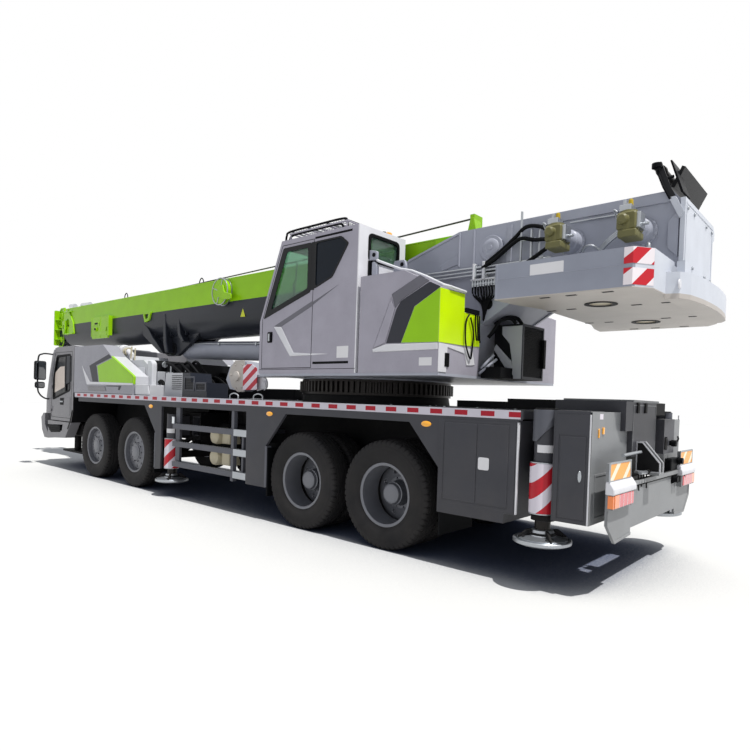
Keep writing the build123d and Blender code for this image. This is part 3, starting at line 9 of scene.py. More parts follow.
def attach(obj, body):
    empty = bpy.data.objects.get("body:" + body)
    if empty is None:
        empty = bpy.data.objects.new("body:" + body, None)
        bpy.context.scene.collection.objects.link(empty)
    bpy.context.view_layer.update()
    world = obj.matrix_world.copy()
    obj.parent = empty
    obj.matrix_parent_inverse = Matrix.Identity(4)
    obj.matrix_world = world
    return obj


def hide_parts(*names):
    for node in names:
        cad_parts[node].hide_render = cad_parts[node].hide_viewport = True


# Looks of a mobile crane on a four-axle truck carrier, in metres.
# +X is forward, +Y is left and +Z is up. Sizes along X are written from the rearmost axle, as in
# the part's source, and MID is taken off when a mesh or a pattern is made.
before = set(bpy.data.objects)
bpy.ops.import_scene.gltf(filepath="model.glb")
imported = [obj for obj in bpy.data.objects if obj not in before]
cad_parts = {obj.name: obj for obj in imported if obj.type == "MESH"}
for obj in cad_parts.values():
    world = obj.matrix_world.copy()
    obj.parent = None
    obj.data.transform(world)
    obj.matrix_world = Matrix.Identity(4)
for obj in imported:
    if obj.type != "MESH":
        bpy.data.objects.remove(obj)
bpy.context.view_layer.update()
MID = 4.59

# Shapes: every piece is a grid of points worked out as whole arrays


def grid_faces(rows, cols, wrap_rows, wrap_cols):
    """Four-sided faces between neighbouring rows and columns of a grid of points."""
    i, j = np.meshgrid(np.arange(rows - (not wrap_rows)), np.arange(cols - (not wrap_cols)), indexing="ij")
    i2, j2 = (i + 1) % rows, (j + 1) % cols
    return np.stack([i * cols + j, i2 * cols + j, i2 * cols + j2, i * cols + j2],
                    -1).reshape(-1, 4).tolist()


def shell(points, ring=False, uv=None):
    """A closed surface from rows of closed loops: row after row is skinned, and the first and last
    loops are capped, or for a ring the last row joins the first."""
    rows, cols = points.shape[:2]
    faces = grid_faces(rows, cols, ring, True)
    if not ring:
        faces += [list(range(cols)), list(range((rows - 1) * cols, rows * cols))]
    return points.reshape(-1, 3), faces, uv


def joined(*parts):
    """Several surfaces as one, each list of faces shifted past the points before it."""
    verts, faces, count = [], [], 0
    for part in parts:
        verts.append(part[0])
        faces += [[k + count for k in face] for face in part[1]]
        count += len(part[0])
    return np.concatenate(verts), faces, None


def moved(part, shift=(0, 0, 0), turn=None, about=(0, 0, 0)):
    """The surface turned by a matrix about a point, then shifted."""
    verts = part[0]
    if turn is not None:
        verts = (verts - about) @ np.array(turn).T + about
    return verts + np.array(shift), part[1], part[2]


def mirrored(part):
    """The surface on the other side of the crane: y becomes -y."""
    return part[0] * (1, -1, 1), part[1], part[2]


def inset(points, step):
    """An outline moved inwards by a step: each corner goes along the sum of its two edges' normals,
    over one plus the cosine between them, so that the edges move evenly."""
    p = np.array(points, float)
    edge = np.roll(p, -1, 0) - p
    normal = np.stack([-edge[:, 1], edge[:, 0]], -1) / np.linalg.norm(edge, axis=1)[:, None]
    area = np.sum(p[:, 0] * np.roll(p[:, 1], -1) - p[:, 1] * np.roll(p[:, 0], -1))
    before = np.roll(normal, 1, 0)
    share = np.sign(area) * step / (1 + np.sum(normal * before, axis=1))
    return p + (normal + before) * share[:, None]


AXIS_ORDER = {"x": (2, 0, 1), "y": (0, 2, 1), "z": (0, 1, 2)}


def slab(outline, low, high, axis="y", bevel=0.004):
    """A plate with bevelled edges: the outline carried from low to high along an axis, one bevel
    smaller at both faces. The outline is (x, z) for axis y, (y, z) for x and (x, y) for z."""
    small = inset(outline, bevel)
    full = np.array(outline, float)
    rows = [np.column_stack([ring, np.full(len(ring), level)]) for ring,
            level in ((small, low), (full, low + bevel), (full, high - bevel), (small, high))]
    return shell(np.stack(rows)[:, :, AXIS_ORDER[axis]])


def box(x0, x1, y0, y1, z0, z1, bevel=0.004):
    """A box with bevelled edges."""
    return slab([(x0, z0), (x1, z0), (x1, z1), (x0, z1)], y0, y1, "y", bevel)


def boxes(rows, bevel=0.004):
    """Several boxes, one for each row of x0, x1, y0, y1, z0, z1."""
    return joined(*[box(*row, bevel) for row in rows])


def hoop(outer, inner, low, high, axis="y"):
    """A flat ring between two outlines of as many corners, carried from low to high."""
    rows = [np.column_stack([ring, np.full(len(ring), level)]) for ring,
            level in ((outer, low), (outer, high), (inner, high), (inner, low))]
    return shell(np.stack(rows)[:, :, AXIS_ORDER[axis]], True)


def arc_points(centre, radius, start, end, steps=24):
    """Points on a circle from one angle to another, in degrees."""
    turn = np.radians(np.linspace(start, end, steps))
    return np.column_stack([centre[0] + radius * np.cos(turn), centre[1] + radius * np.sin(turn)])


def sleeve(centre, radius, thick, low, high, start, end):
    """Part of an upright round sleeve: two arcs in plan, joined at their ends, carried upwards."""
    outline = np.concatenate([arc_points(centre, radius, start, end),
                              arc_points(centre, radius - thick, end, start)])
    return slab(outline, low, high, "z", thick * 0.2)


def oval(across, high, centre, steps=20):
    """An oval outline about a centre."""
    return arc_points((0, 0), 1, 0, 360 * (steps - 1) / steps, steps) * (across / 2, high / 2) + centre


def bolts(spots, radius, depth, axis, level):
    """Hexagon bolt heads at each spot on a face that stands at a level along the axis."""
    hexagon = arc_points((0, 0), radius, 0, 300, 6)
    low, high = min(level, level + depth), max(level, level + depth)
    return joined(*[slab(hexagon + spot, low, high, axis, radius * 0.15) for spot in spots])


def rounded(outline, radius, steps=4):
    """An outline whose corners are arcs: each corner gives way to points on a circle that touches
    both its edges, worked out as a blend of the two edge points and the corner."""
    p = np.array(outline, float)
    back, on = np.roll(p, 1, 0) - p, np.roll(p, -1, 0) - p
    lb, lo = np.linalg.norm(back, axis=1), np.linalg.norm(on, axis=1)
    cut = np.minimum(radius, 0.45 * np.minimum(lb, lo))[:, None]
    start, end = p + back / lb[:, None] * cut, p + on / lo[:, None] * cut
    t = np.linspace(0, 1, steps + 1)[None, :, None]
    arc = (1 - t) ** 2 * start[:, None] + 2 * t * (1 - t) * p[:, None] + t ** 2 * end[:, None]
    return arc.reshape(-1, 2)


def turned(profile, centre, axis="y", steps=48, ring=False, wobble=None):
    """A turned piece: (offset, radius) points carried round an axis through the centre. wobble
    changes the offsets and radii at each angle, for lugs, holes and nuts."""
    prof = np.array(profile, float)
    angle = np.linspace(0, 2 * math.pi, steps, endpoint=False)
    s = np.repeat(prof[:, :1], steps, 1)
    r = np.repeat(prof[:, 1:], steps, 1)
    if wobble is not None:
        s, r = wobble(s, r, angle[None, :])
    flat = np.stack([r * np.cos(angle), r * np.sin(angle), s], -1)
    return moved(shell(flat[:, :, AXIS_ORDER[axis]], ring), centre)


def smooth_path(points, steps=8):
    """Points along a curve through the given ones: each span is the cubic whose slopes are half the
    difference of the neighbouring points."""
    p = np.array(points, float)
    p = np.concatenate([2 * p[:1] - p[1:2], p, 2 * p[-1:] - p[-2:-1]])
    a, b, c, d = p[:-3, None], p[1:-2, None], p[2:-1, None], p[3:, None]
    t = np.linspace(0, 1, steps, endpoint=False)[None, :, None]
    curve = 0.5 * (2 * b + (c - a) * t + (2 * a - 5 * b + 4 * c - d) * t ** 2 + (3 * b - a - 3 * c + d)
                   * t ** 3)
    return np.concatenate([curve.reshape(-1, 3), np.array(points[-1:], float)])


def tube(path, radius, sides=10, up=(0.31, 0.17, 0.94)):
    """A round bar along a path: at each point a circle stands square to the path's direction."""
    p = np.array(path, float)
    ahead = np.gradient(p, axis=0)
    ahead /= np.linalg.norm(ahead, axis=1)[:, None]
    side = np.cross(ahead, up)
    side /= np.linalg.norm(side, axis=1)[:, None]
    other = np.cross(ahead, side)
    angle = np.linspace(0, 2 * math.pi, sides, endpoint=False)[None, :, None]
    width = np.broadcast_to(np.array(radius, float), (len(p),))[:, None, None]
    points = p[:, None] + width * (np.cos(angle) * side[:, None] + np.sin(angle) * other[:, None])
    return shell(points)


# Finishes


def colour(code):
    """An sRGB hex colour as linear red, green, blue and full alpha."""
    v = np.array([int(code[i:i + 2], 16) for i in (1, 3, 5)]) / 255
    lin = np.where(v <= 0.04045, v / 12.92, ((v + 0.055) / 1.055) ** 2.4)
    return (*lin.tolist(), 1.0)


def add(tree, kind, inputs=None, **settings):
    """Adds a node with its settings; an input is a value or another node's output."""
    node = tree.nodes.new(kind)
    for key, value in settings.items():
        setattr(node, key, value)
    for key, value in (inputs or {}).items():
        if isinstance(value, bpy.types.NodeSocket):
            tree.links.new(value, node.inputs[key])
        else:
            node.inputs[key].default_value = value
    return node


def inside(points):
    """Half-spaces that bound a convex outline of (x, z) points, for paint on a side face."""
    p = np.array(points, float) - (MID, 0)
    if np.sum(p[:, 0] * np.roll(p[:, 1], -1) - p[:, 1] * np.roll(p[:, 0], -1)) < 0:
        p = p[::-1]
    edge = np.roll(p, -1, 0) - p
    normal = np.stack([-edge[:, 1], edge[:, 0]], -1)
    return [((n[0], 0, n[1]), float(n @ q)) for n, q in zip(normal, p)]


def zone(tree, place, rules):
    """1 where the place's dot product with each rule's direction is above its limit."""
    whole = None
    for direction, limit in rules:
        dot = add(tree, "ShaderNodeVectorMath", {0: place, 1: tuple(direction)}, operation="DOT_PRODUCT")
        over = add(tree, "ShaderNodeMath", {0: dot.outputs["Value"], 1: limit}, operation="GREATER_THAN")
        whole = over.outputs[0] if whole is None else add(tree, "ShaderNodeMath",
              {0: whole, 1: over.outputs[0]}, operation="MULTIPLY").outputs[0]
    return whole


def stripes(tree, place, direction, pitch, share, start=0.0):
    """1 in bands square to the direction: from the start on, each pitch has a band of the share."""
    dot = add(tree, "ShaderNodeVectorMath", {0: place, 1: tuple(direction)}, operation="DOT_PRODUCT")
    turns = add(tree, "ShaderNodeMath", {0: dot.outputs["Value"], 1: 1 / pitch, 2: -start / pitch},
                operation="MULTIPLY_ADD")
    part = add(tree, "ShaderNodeMath", {0: turns.outputs[0]}, operation="FRACT")
    return add(tree, "ShaderNodeMath", {0: part.outputs[0], 1: share}, operation="LESS_THAN").outputs[0]


def blended(tree, share, first, second):
    """The first colour, going over to the second where the share is 1."""
    return add(tree, "ShaderNodeMix", {0: share, 6: first, 7: second}, data_type="RGBA").outputs[2]


def finish(name, base, rough=0.4, metal=0.0, grain=6.0, relief=0.08, tone=0.05, dust=0.0, edge=0.0,
           paints=(), coat=0.0, ior=1.5, glow=0.0, gloss=0.2):
    """A surface with the marks of use.

    base is the paint or bare colour. grain is the size in mm of the fine relief and relief its depth
    in mm. tone is how far the colour drifts over a hand's width. dust is how thick road dust lies,
    most of it low down, and edge how far the edges are rubbed pale. Each of paints is the colour and
    the rules of a zone, with stripes as direction, pitch and share where it has them. gloss is how
    much the bare face mirrors.
    """
    material = bpy.data.materials.new(name)
    material.use_nodes = True
    tree = material.node_tree
    tree.nodes.clear()
    place = add(tree, "ShaderNodeTexCoord").outputs["Object"]
    shade = None
    drift = add(tree, "ShaderNodeTexNoise", {"Vector": place, "Scale": 4.0, "Detail": 6.0})
    lift = add(tree, "ShaderNodeMapRange", {0: drift.outputs[0], 1: 0.3, 2: 0.7, 3: 1 - tone, 4: 1 + tone})
    shade = colour(base)
    for code, rules, *bands in paints:
        share = zone(tree, place, rules) if rules else None
        for band_sizes in bands:
            band = stripes(tree, place, *band_sizes)
            share = band if share is None else add(tree, "ShaderNodeMath", {0: share, 1: band},
                  operation="MULTIPLY").outputs[0]
        shade = blended(tree, share, shade, colour(code))
    if isinstance(shade, tuple):
        shade = add(tree, "ShaderNodeRGB").outputs[0]
        shade.default_value = colour(base)
    shade = add(tree, "ShaderNodeVectorMath", {0: shade, "Scale": lift.outputs[0]},
                operation="SCALE").outputs[0]
    fine = add(tree, "ShaderNodeTexNoise", {"Vector": place, "Scale": 1000 / grain, "Detail": 3.0})
    soft = add(tree, "ShaderNodeBevel", {"Radius": 0.004}, samples=3)
    if edge:
        flat = add(tree, "ShaderNodeNewGeometry").outputs["True Normal"]
        bend = add(tree, "ShaderNodeVectorMath", {0: soft.outputs[0], 1: flat}, operation="DOT_PRODUCT")
        worn = add(tree, "ShaderNodeMapRange", {0: bend.outputs["Value"], 1: 0.97, 2: 0.8, 3: 0.0, 4: edge})
        patchy = add(tree, "ShaderNodeMapRange", {0: drift.outputs[0], 1: 0.45, 2: 0.6, 3: 0.25, 4: 1.0})
        rubbed = add(tree, "ShaderNodeMath", {0: worn.outputs[0], 1: patchy.outputs[0]},
                     operation="MULTIPLY")
        shade = blended(tree, rubbed.outputs[0], shade, colour("#b4b2ac"))
    if dust:
        height = add(tree, "ShaderNodeSeparateXYZ", {0: place}).outputs[2]
        low = add(tree, "ShaderNodeMapRange", {0: height, 1: 2.2, 2: 0.3, 3: 0.12, 4: 1.0})
        cloud = add(tree, "ShaderNodeTexNoise", {"Vector": place, "Scale": 2.5, "Detail": 9.0,
                 "Roughness": 0.6})
        thick = add(tree, "ShaderNodeMapRange", {0: cloud.outputs[0], 1: 0.35, 2: 0.75, 3: dust * 0.2,
                 4: dust})
        lies = add(tree, "ShaderNodeMath", {0: low.outputs[0], 1: thick.outputs[0]}, operation="MULTIPLY")
        shade = blended(tree, lies.outputs[0], shade, colour("#7b756d"))
    shine = add(tree, "ShaderNodeMapRange", {0: fine.outputs[0], 1: 0.3, 2: 0.7, 3: max(rough - 0.06, 0.02),
                                             4: min(rough + 0.08, 1.0)})
    bump = add(tree, "ShaderNodeBump", {"Height": fine.outputs[0], "Distance": relief / 1000,
                                        "Strength": 1.0, "Normal": soft.outputs[0]})
    body = add(tree, "ShaderNodeBsdfPrincipled", {"Base Color": shade, "Roughness": shine.outputs[0],
             "Metallic": metal, "Normal": bump.outputs[0]})
    if not metal:
        body.inputs["IOR"].default_value = ior
        body.inputs["Specular IOR Level"].default_value = gloss
    if coat:
        body.inputs["Coat Weight"].default_value = coat
        body.inputs["Coat Roughness"].default_value = 0.08
    if glow:
        tree.links.new(shade, body.inputs["Emission Color"])
        body.inputs["Emission Strength"].default_value = glow
    out = add(tree, "ShaderNodeOutputMaterial", {0: body.outputs[0]})
    out.location = (400, 0)
    return material


def glazing(name, tint, clear, rough=0.02, gloss=0.25):
    """Tinted glass: most light goes through and takes the tint, and a clear gloss lies on top."""
    material = finish(name, tint, rough, 0.0, 60.0, 0.01, 0.02)
    body = next(n for n in material.node_tree.nodes if n.type == "BSDF_PRINCIPLED")
    body.inputs["Transmission Weight"].default_value = clear
    body.inputs["Specular IOR Level"].default_value = gloss
    return material


# Pieces
SHARP = math.radians(32)


def piece(name, part, body, material, replaces=()):
    """Makes the mesh, turns its faces outwards, shades its soft edges and rides it on a body."""
    verts, faces, _ = part
    mesh = bpy.data.meshes.new(name)
    mesh.from_pydata((verts - (MID, 0, 0)).tolist(), [], faces)
    face_outwards(mesh)
    mesh.materials.append(material)
    mesh.shade_smooth()
    mesh.set_sharp_from_angle(angle=SHARP)
    obj = bpy.data.objects.new(name, mesh)
    bpy.context.scene.collection.objects.link(obj)
    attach(obj, body)
    if replaces:
        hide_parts(*replaces)
    return obj


def group(name, body, material, slot, *parts, both=False, replaces=()):
    """One piece of several surfaces, with their mirror images where both sides have them."""
    if both:
        parts += tuple(mirrored(part) for part in parts)
    return piece(name, joined(*parts), body, material, replaces)


def face_outwards(mesh):
    """Turns the faces of each closed shell outwards."""
    work = bmesh.new()
    work.from_mesh(mesh)
    bmesh.ops.recalc_face_normals(work, faces=work.faces)
    work.to_mesh(mesh)
    work.free()


# Two-pack enamel sprayed on steel: gloss, with faint orange peel and a little road dust.
LIME = "#8fc40e"
enamel_lime = finish("enamel_lime", LIME, 0.28, grain=9, relief=0.05, coat=0.1, edge=0.25)
enamel_boom = finish("enamel_boom", "#24272e", 0.35, grain=9, relief=0.05, coat=0.06, edge=0.3,
                     paints=[(LIME, [((0, 0, 1), 3.275)])])
# A paler, yellower copy of the lime for the panels that face the tail: painted sunlight on the faces the
# sun falls on.
lime_painted_sunlit = finish("lime_painted_sunlit", "#c6ea02", 0.28, grain=9, relief=0.05, coat=0.1, edge=0.25)
enamel_cab_grey = finish("enamel_cab_grey", "#9d9aa5", 0.3, grain=9, relief=0.05, coat=0.1, edge=0.2,
                         dust=0.06)
enamel_carrier = finish("enamel_carrier", "#79787c", 0.3, grain=9, relief=0.05, coat=0.1, edge=0.2,
                        dust=0.08)
# The doors: their windows are painted on, dark as painted shade for the cab behind the glass, with a pale
# curtain.
enamel_doors = finish("enamel_doors", "#79787c", 0.3, grain=9, relief=0.05, coat=0.1, edge=0.2, dust=0.08,
                      paints=[("#0d1014", inside([(8.53, 1.66), (9.4, 1.46), (9.4, 1.88), (9.235, 2.37),
                  (8.53, 2.39)])), ("#d8cbbf", inside([(8.84, 1.72), (9.36, 1.6), (9.36, 2.02), (9.1, 2.15),
                  (8.86, 2.16)]))])
# The operator's cab: its back panel is painted paler, a painted highlight for the sun on the faces towards
# the tail.
enamel_opcab = finish("enamel_opcab", "#9d9aa5", 0.3, grain=9, relief=0.05, coat=0.1, edge=0.2,
                      paints=[("#dcdce0", [((-1, 0, 0), MID - 0.48)])])
enamel_pale = finish("enamel_pale", "#d2d2d6", 0.3, grain=9, relief=0.05, coat=0.1, edge=0.2, dust=0.06)
enamel_plate_grey = finish("enamel_plate_grey", "#a2a5b0", 0.36, grain=9, relief=0.06, coat=0.06, edge=0.3)
# The counterweight's paint is laid by place: below 2.664 m a warm pale grey as painted bounce light from
# the floor, on the chamfer and back a paler grey as a painted highlight of the sun, and black above 3.6 m.
# The hook's cheeks take this finish too and lie wholly in the underside zone.
enamel_weight = finish("enamel_weight", "#8f939f", 0.4, grain=9, relief=0.06, edge=0.3,
                       paints=[("#b2aca6", [((0, 0, -1), -2.664)]),
                               ("#c6cad2", [((-1, 0, 0), MID + 2.585), ((0, 0, 1), 2.664)]),
                               ("#17181b", [((0, 0, 1), 3.6)])])
enamel_charcoal = finish("enamel_charcoal", "#3d3e44", 0.42, grain=9, relief=0.06, edge=0.25, dust=0.16)
enamel_rail = finish("enamel_rail", "#565860", 0.4, grain=9, relief=0.06, edge=0.35, dust=0.14)
enamel_tail = finish("enamel_tail", "#808284", 0.38, grain=9, relief=0.06, edge=0.25, dust=0.12)
# The engine's hood and the white grille box beside the grey side covers, on one casting of sheet.
enamel_covers = finish("enamel_covers", "#8d8d95", 0.3, grain=9, relief=0.05, coat=0.1, edge=0.2,
                       paints=[("#bfc0c4", [((0, 1, 0), -1.36), ((0, -1, 0), -1.36),
                                            ((-1, 0, 0), MID - 6.62)]),
                               ("#bfc0c4", [((0, 1, 0), -1.114), ((0, -1, 0), -1.114),
                                            ((1, 0, 0), 5.3 - MID)]),
                               ("#2b2e37", [((-1, 0, 0), MID - 4.67)])])
# Chassis black brushed over castings and forgings: dull, with dust in the hollows.
chassis_black = finish("chassis_black", "#101114", 0.55, grain=5, relief=0.15, edge=0.3, dust=0.08,
                       gloss=0.08)
# Rubber hose and window seals: dull black with a fine grain.
black_rubber = finish("black_rubber", "#101113", 0.5, grain=2, relief=0.04, gloss=0.06)
# Bare forged steel with grease on it: dark, with pale rubbed edges.
greased_steel = finish("greased_steel", "#1f1c1b", 0.38, 0.7, grain=4, relief=0.1, edge=0.4)
# Wire rope, laid strands with grease: the bands round the drum are its turns.
wire_rope = finish("wire_rope", "#3c3a38", 0.45, 0.6, grain=2, relief=0.3,
                   paints=[("#191818", [], ((0, 1, 0), 0.026, 0.25))])
# Hard chrome on the cylinder's rod, ground and polished.
hard_chrome = finish("hard_chrome", "#c9ccd1", 0.12, 1.0, grain=2, relief=0.004, tone=0.02)
# Zinc-plated steel: pale metal with a soft sheen.
zinc_steel = finish("zinc_steel", "#a7abb0", 0.35, 0.8, grain=3, relief=0.02, edge=0.2)
# Olive anticorrosion paint on the hydraulic motors, thin over cast iron.
motor_olive = finish("motor_olive", "#6d6a45", 0.4, grain=3, relief=0.25, edge=0.5)
tyre_rubber = finish("tyre_rubber", "#17171a", 0.72, grain=3, relief=0.12, tone=0.1, dust=0.1)
rim_silver = finish("rim_silver", "#6c6e75", 0.36, 0.4, grain=5, relief=0.04, edge=0.3, dust=0.12)
cab_glass = glazing("tinted_safety_glass", "#a4cdb6", 0.9, gloss=0.06)
clear_glass = glazing("clear_safety_glass", "#c4d0c8", 0.95, gloss=0.02)
dark_glass = glazing("privacy_glass", "#141d28", 0.2, gloss=0.05)
seat_cloth = finish("seat_vinyl", "#35353a", 0.6, grain=2, relief=0.3)
# Moulded lamp lenses: clear plastic with fine ribs, over the colour of each lamp.
lens_red = finish("lens_red", "#c4303c", 0.12, grain=4, relief=0.3, coat=1.0, glow=0.12,
                  paints=[("#e07a3a", [((0, 1, 0), 1.24)]), ("#e07a3a", [((0, -1, 0), 1.24)])])
lens_amber = finish("lens_amber", "#e8a020", 0.15, grain=4, relief=0.3, coat=1.0, glow=0.15)
lens_clear = finish("lens_clear", "#e9edf0", 0.08, grain=4, relief=0.2, coat=1.0)
DIAGONAL = 0.7071
# Reflective foil: glass beads under clear film, in a red and white or orange and white pattern. The hazard,
# weight, hook and orange foils glow faintly, a painted brightness for the light the beads send back.
foil_hazard = finish("foil_hazard", "#cfc9d2", 0.32, grain=3, relief=0.03, tone=0.03, coat=0.06, glow=0.04,
                     paints=[("#b01f2c", [], ((0.5, 0.5, DIAGONAL), 0.212, 0.5, 0.0))])
foil_weight = finish("foil_weight", "#e2dadd", 0.32, grain=3, relief=0.03, tone=0.03, coat=0.06, glow=0.04,
                     paints=[("#bb2630", [], ((0.5, 0.5, DIAGONAL), 0.19, 0.5, 0.05))])
foil_hook = finish("foil_hook", "#d8cdd6", 0.32, grain=3, relief=0.03, tone=0.03, coat=0.06, glow=0.04,
                   paints=[("#b3303e", [], ((0.5, 0.5, DIAGONAL), 0.125, 0.5, 0.02))])
foil_orange = finish("foil_orange", "#f0a24a", 0.3, grain=3, relief=0.03, tone=0.03, coat=0.06, glow=0.08,
                     paints=[("#e9dcc6", [], ((0, 0.62, 0.78), 0.2, 0.28, 0.02))])
foil_deck = finish("foil_deck", "#c3bfc8", 0.35, grain=3, relief=0.03, tone=0.05, coat=0.05,
                   paints=[("#a01628", [((0, 0, 1), 1.547), ((0, 0, -1), -1.597)],
                            ((1, 0, 0), 0.3, 0.5, -0.17 - MID))])
# Blank labels: printed film, no writing.
label_film = finish("label_film", "#d9d8da", 0.4, grain=3, relief=0.02, tone=0.02)
# Dark vinyl stripe on the covers.
vinyl_dark = finish("vinyl_dark", "#303138", 0.35, grain=6, relief=0.03)
# Cream gel coat on the filter cans.
cream_paint = finish("cream_paint", "#c9c0a6", 0.4, grain=4, relief=0.05, edge=0.2)

CAD_FINISH = {"chassis_frame": chassis_black, "axles_and_shafts": chassis_black,
              "engine_block": chassis_black, "carrier_deck": enamel_charcoal,
              "rear_lockers": enamel_charcoal, "side_rails": enamel_rail, "outrigger_boxes": chassis_black,
              "slew_ring": greased_steel, "cab_glass": clear_glass, "operator_cab_glass": cab_glass,
              "cab_interior": seat_cloth, "operator_cab_interior": seat_cloth,
              "counterweight": enamel_weight, "turntable_frame": enamel_plate_grey,
              "hook_block": enamel_plate_grey, "lift_cylinder_barrel": enamel_plate_grey,
              "lift_cylinder_rod": hard_chrome, "main_winch_drum": wire_rope,
              "auxiliary_winch_drum": wire_rope, "engine_covers": enamel_covers,
              "side_tanks": chassis_black, "hydraulic_pipes": zinc_steel, "oil_cooler": chassis_black,
              "winch_drives": chassis_black, "boom_fittings": enamel_lime, "rear_bumper": enamel_tail,
              "cab_mirrors": black_rubber, "cab_shell": enamel_carrier, "cab_door_left": enamel_doors,
              "cab_door_right": enamel_doors, "front_bumper": enamel_carrier,
              "operator_cab_shell": enamel_opcab,}
for name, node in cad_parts.items():
    if name.startswith(("boom_base", "boom_section")):
        chosen = enamel_boom
    elif name.startswith("outrigger_beam"):
        chosen = enamel_charcoal
    elif name.startswith("outrigger_jack"):
        chosen = zinc_steel
    elif name.startswith("knuckle"):
        chosen = chassis_black
    else:
        chosen = CAD_FINISH.get(name, enamel_cab_grey)
    node.data.materials.clear()
    node.data.materials.append(chosen)

# Wheels: tyres with their tread and sidewall ribs, and rims with hand holes and nuts
TYRE_R, TYRE_W, RIM_R = 0.613, 0.315, 0.33
WHEEL_Y = 1.385 - TYRE_W / 2
TWIN_PITCH = 0.352
LUGS = 54
half_tyre = [(0.112, 0.334), (0.128, 0.35), (0.139, 0.372), (0.149, 0.405), (0.1525, 0.418),
             (0.1545, 0.424), (0.1555, 0.452), (0.1575, 0.47), (0.1575, 0.5), (0.1555, 0.524),
             (0.1565, 0.53), (0.1545, 0.537), (0.15, 0.556), (0.15, 0.568), (0.1475, 0.58), (0.144, 0.592),
             (0.133, 0.6035), (0.116, 0.609), (0.099, 0.6105), (0.0945, 0.611), (0.0935, 0.6),
             (0.0865, 0.6), (0.0855, 0.6115), (0.04, 0.6125), (0.039, 0.601), (0.031, 0.601),
             (0.03, 0.6128)]
tyre_profile = half_tyre + [(-s, r) for s, r in half_tyre[::-1]]


def tread(s, r, angle):
    """Shoulder slots: where the wave round the tyre is low, the shoulder drops by up to 13 mm."""
    part = (angle * LUGS / (2 * math.pi) + 0.5 * (s > 0)) % 1
    slot = np.clip((0.36 - np.abs(part - 0.3) * 2) * 12, 0, 1)
    window = np.clip((np.abs(s) - 0.094) * 200, 0, 1) * np.clip((r - 0.566) * 120, 0, 1)
    return s - np.sign(s) * 0.004 * slot * window, r - 0.013 * slot * window


def tyre_at(x, y):
    return turned(tyre_profile, (x, y, TYRE_R), "y", LUGS * 5, True, tread)


def hole_shape(count, ring_r, hole_r, depth, low, high):
    """Sinks round hand holes in a disc: near a hole's middle the offset drops by the depth."""
    def sink(s, r, angle):
        turn = angle % (2 * math.pi / count) - math.pi / count
        away = np.sqrt((r * np.cos(turn) - ring_r) ** 2 + (r * np.sin(turn)) ** 2)
        hollow = np.clip((hole_r - away) / 0.006, 0, 1) * ((r > low) & (r < high))
        return s - depth * hollow, r
    return sink


def rim_parts(x, y, disc, cap, holes, ring_r, hole_r):
    """A rim: its lipped barrel, a disc with hand holes, the hub and its nuts."""
    barrel = [(-0.134, 0.356), (-0.125, 0.358), (-0.119, 0.34), (-0.06, 0.331), (0.06, 0.331),
              (0.119, 0.34), (0.125, 0.358), (0.1345, 0.3585), (0.1375, 0.352), (0.134, 0.342),
              (0.127, 0.326), (0.05, 0.316), (-0.05, 0.312), (-0.134, 0.316)]
    lip = turned(barrel, (x, y, TYRE_R), "y", 96, True)
    out = 1 if disc > 0 else 0.3
    radii = np.concatenate([[0.32, 0.312, 0.3], np.linspace(0.29, 0.205, 18), [0.196, 0.188]])
    dome = np.interp(radii, [0.188, 0.205, 0.29, 0.32], [0.022, 0.012, 0.0, -0.012]) * out
    face = np.column_stack([disc + dome, radii])
    hub = [(disc + 0.022, 0.186), (disc + 0.022, 0.15), (disc + 0.03, 0.141)]
    run = cap - disc
    hub += [(disc + run * 0.62, 0.122), (disc + run * 0.66, 0.132), (disc + run * 0.74, 0.134),
            (disc + run * 0.77, 0.124), (cap - 0.014, 0.112), (cap - 0.003, 0.096), (cap, 0.08),
            (cap, 0.0005)]
    back = [(disc - 0.05, 0.0005), (disc - 0.05, 0.2), (disc - 0.03, 0.32)]
    profile = np.concatenate([face, hub, back])
    plate = turned(profile, (x, y, TYRE_R), "y", holes * 24, True,
                   hole_shape(holes, ring_r, hole_r, 0.024, 0.206, 0.289))
    hexagon = [(0.013 * math.cos(k * math.pi / 3), 0.013 * math.sin(k * math.pi / 3)) for k in range(6)]
    nuts = []
    for k in range(10):
        turn = 2 * math.pi * k / 10
        nut = slab(hexagon, disc + 0.018 * out, disc + 0.018 * out + 0.03, "y", 0.003)
        nuts.append(moved(nut, (x + 0.168 * math.cos(turn), y, TYRE_R + 0.168 * math.sin(turn))))
    return joined(lip, plate, *nuts)


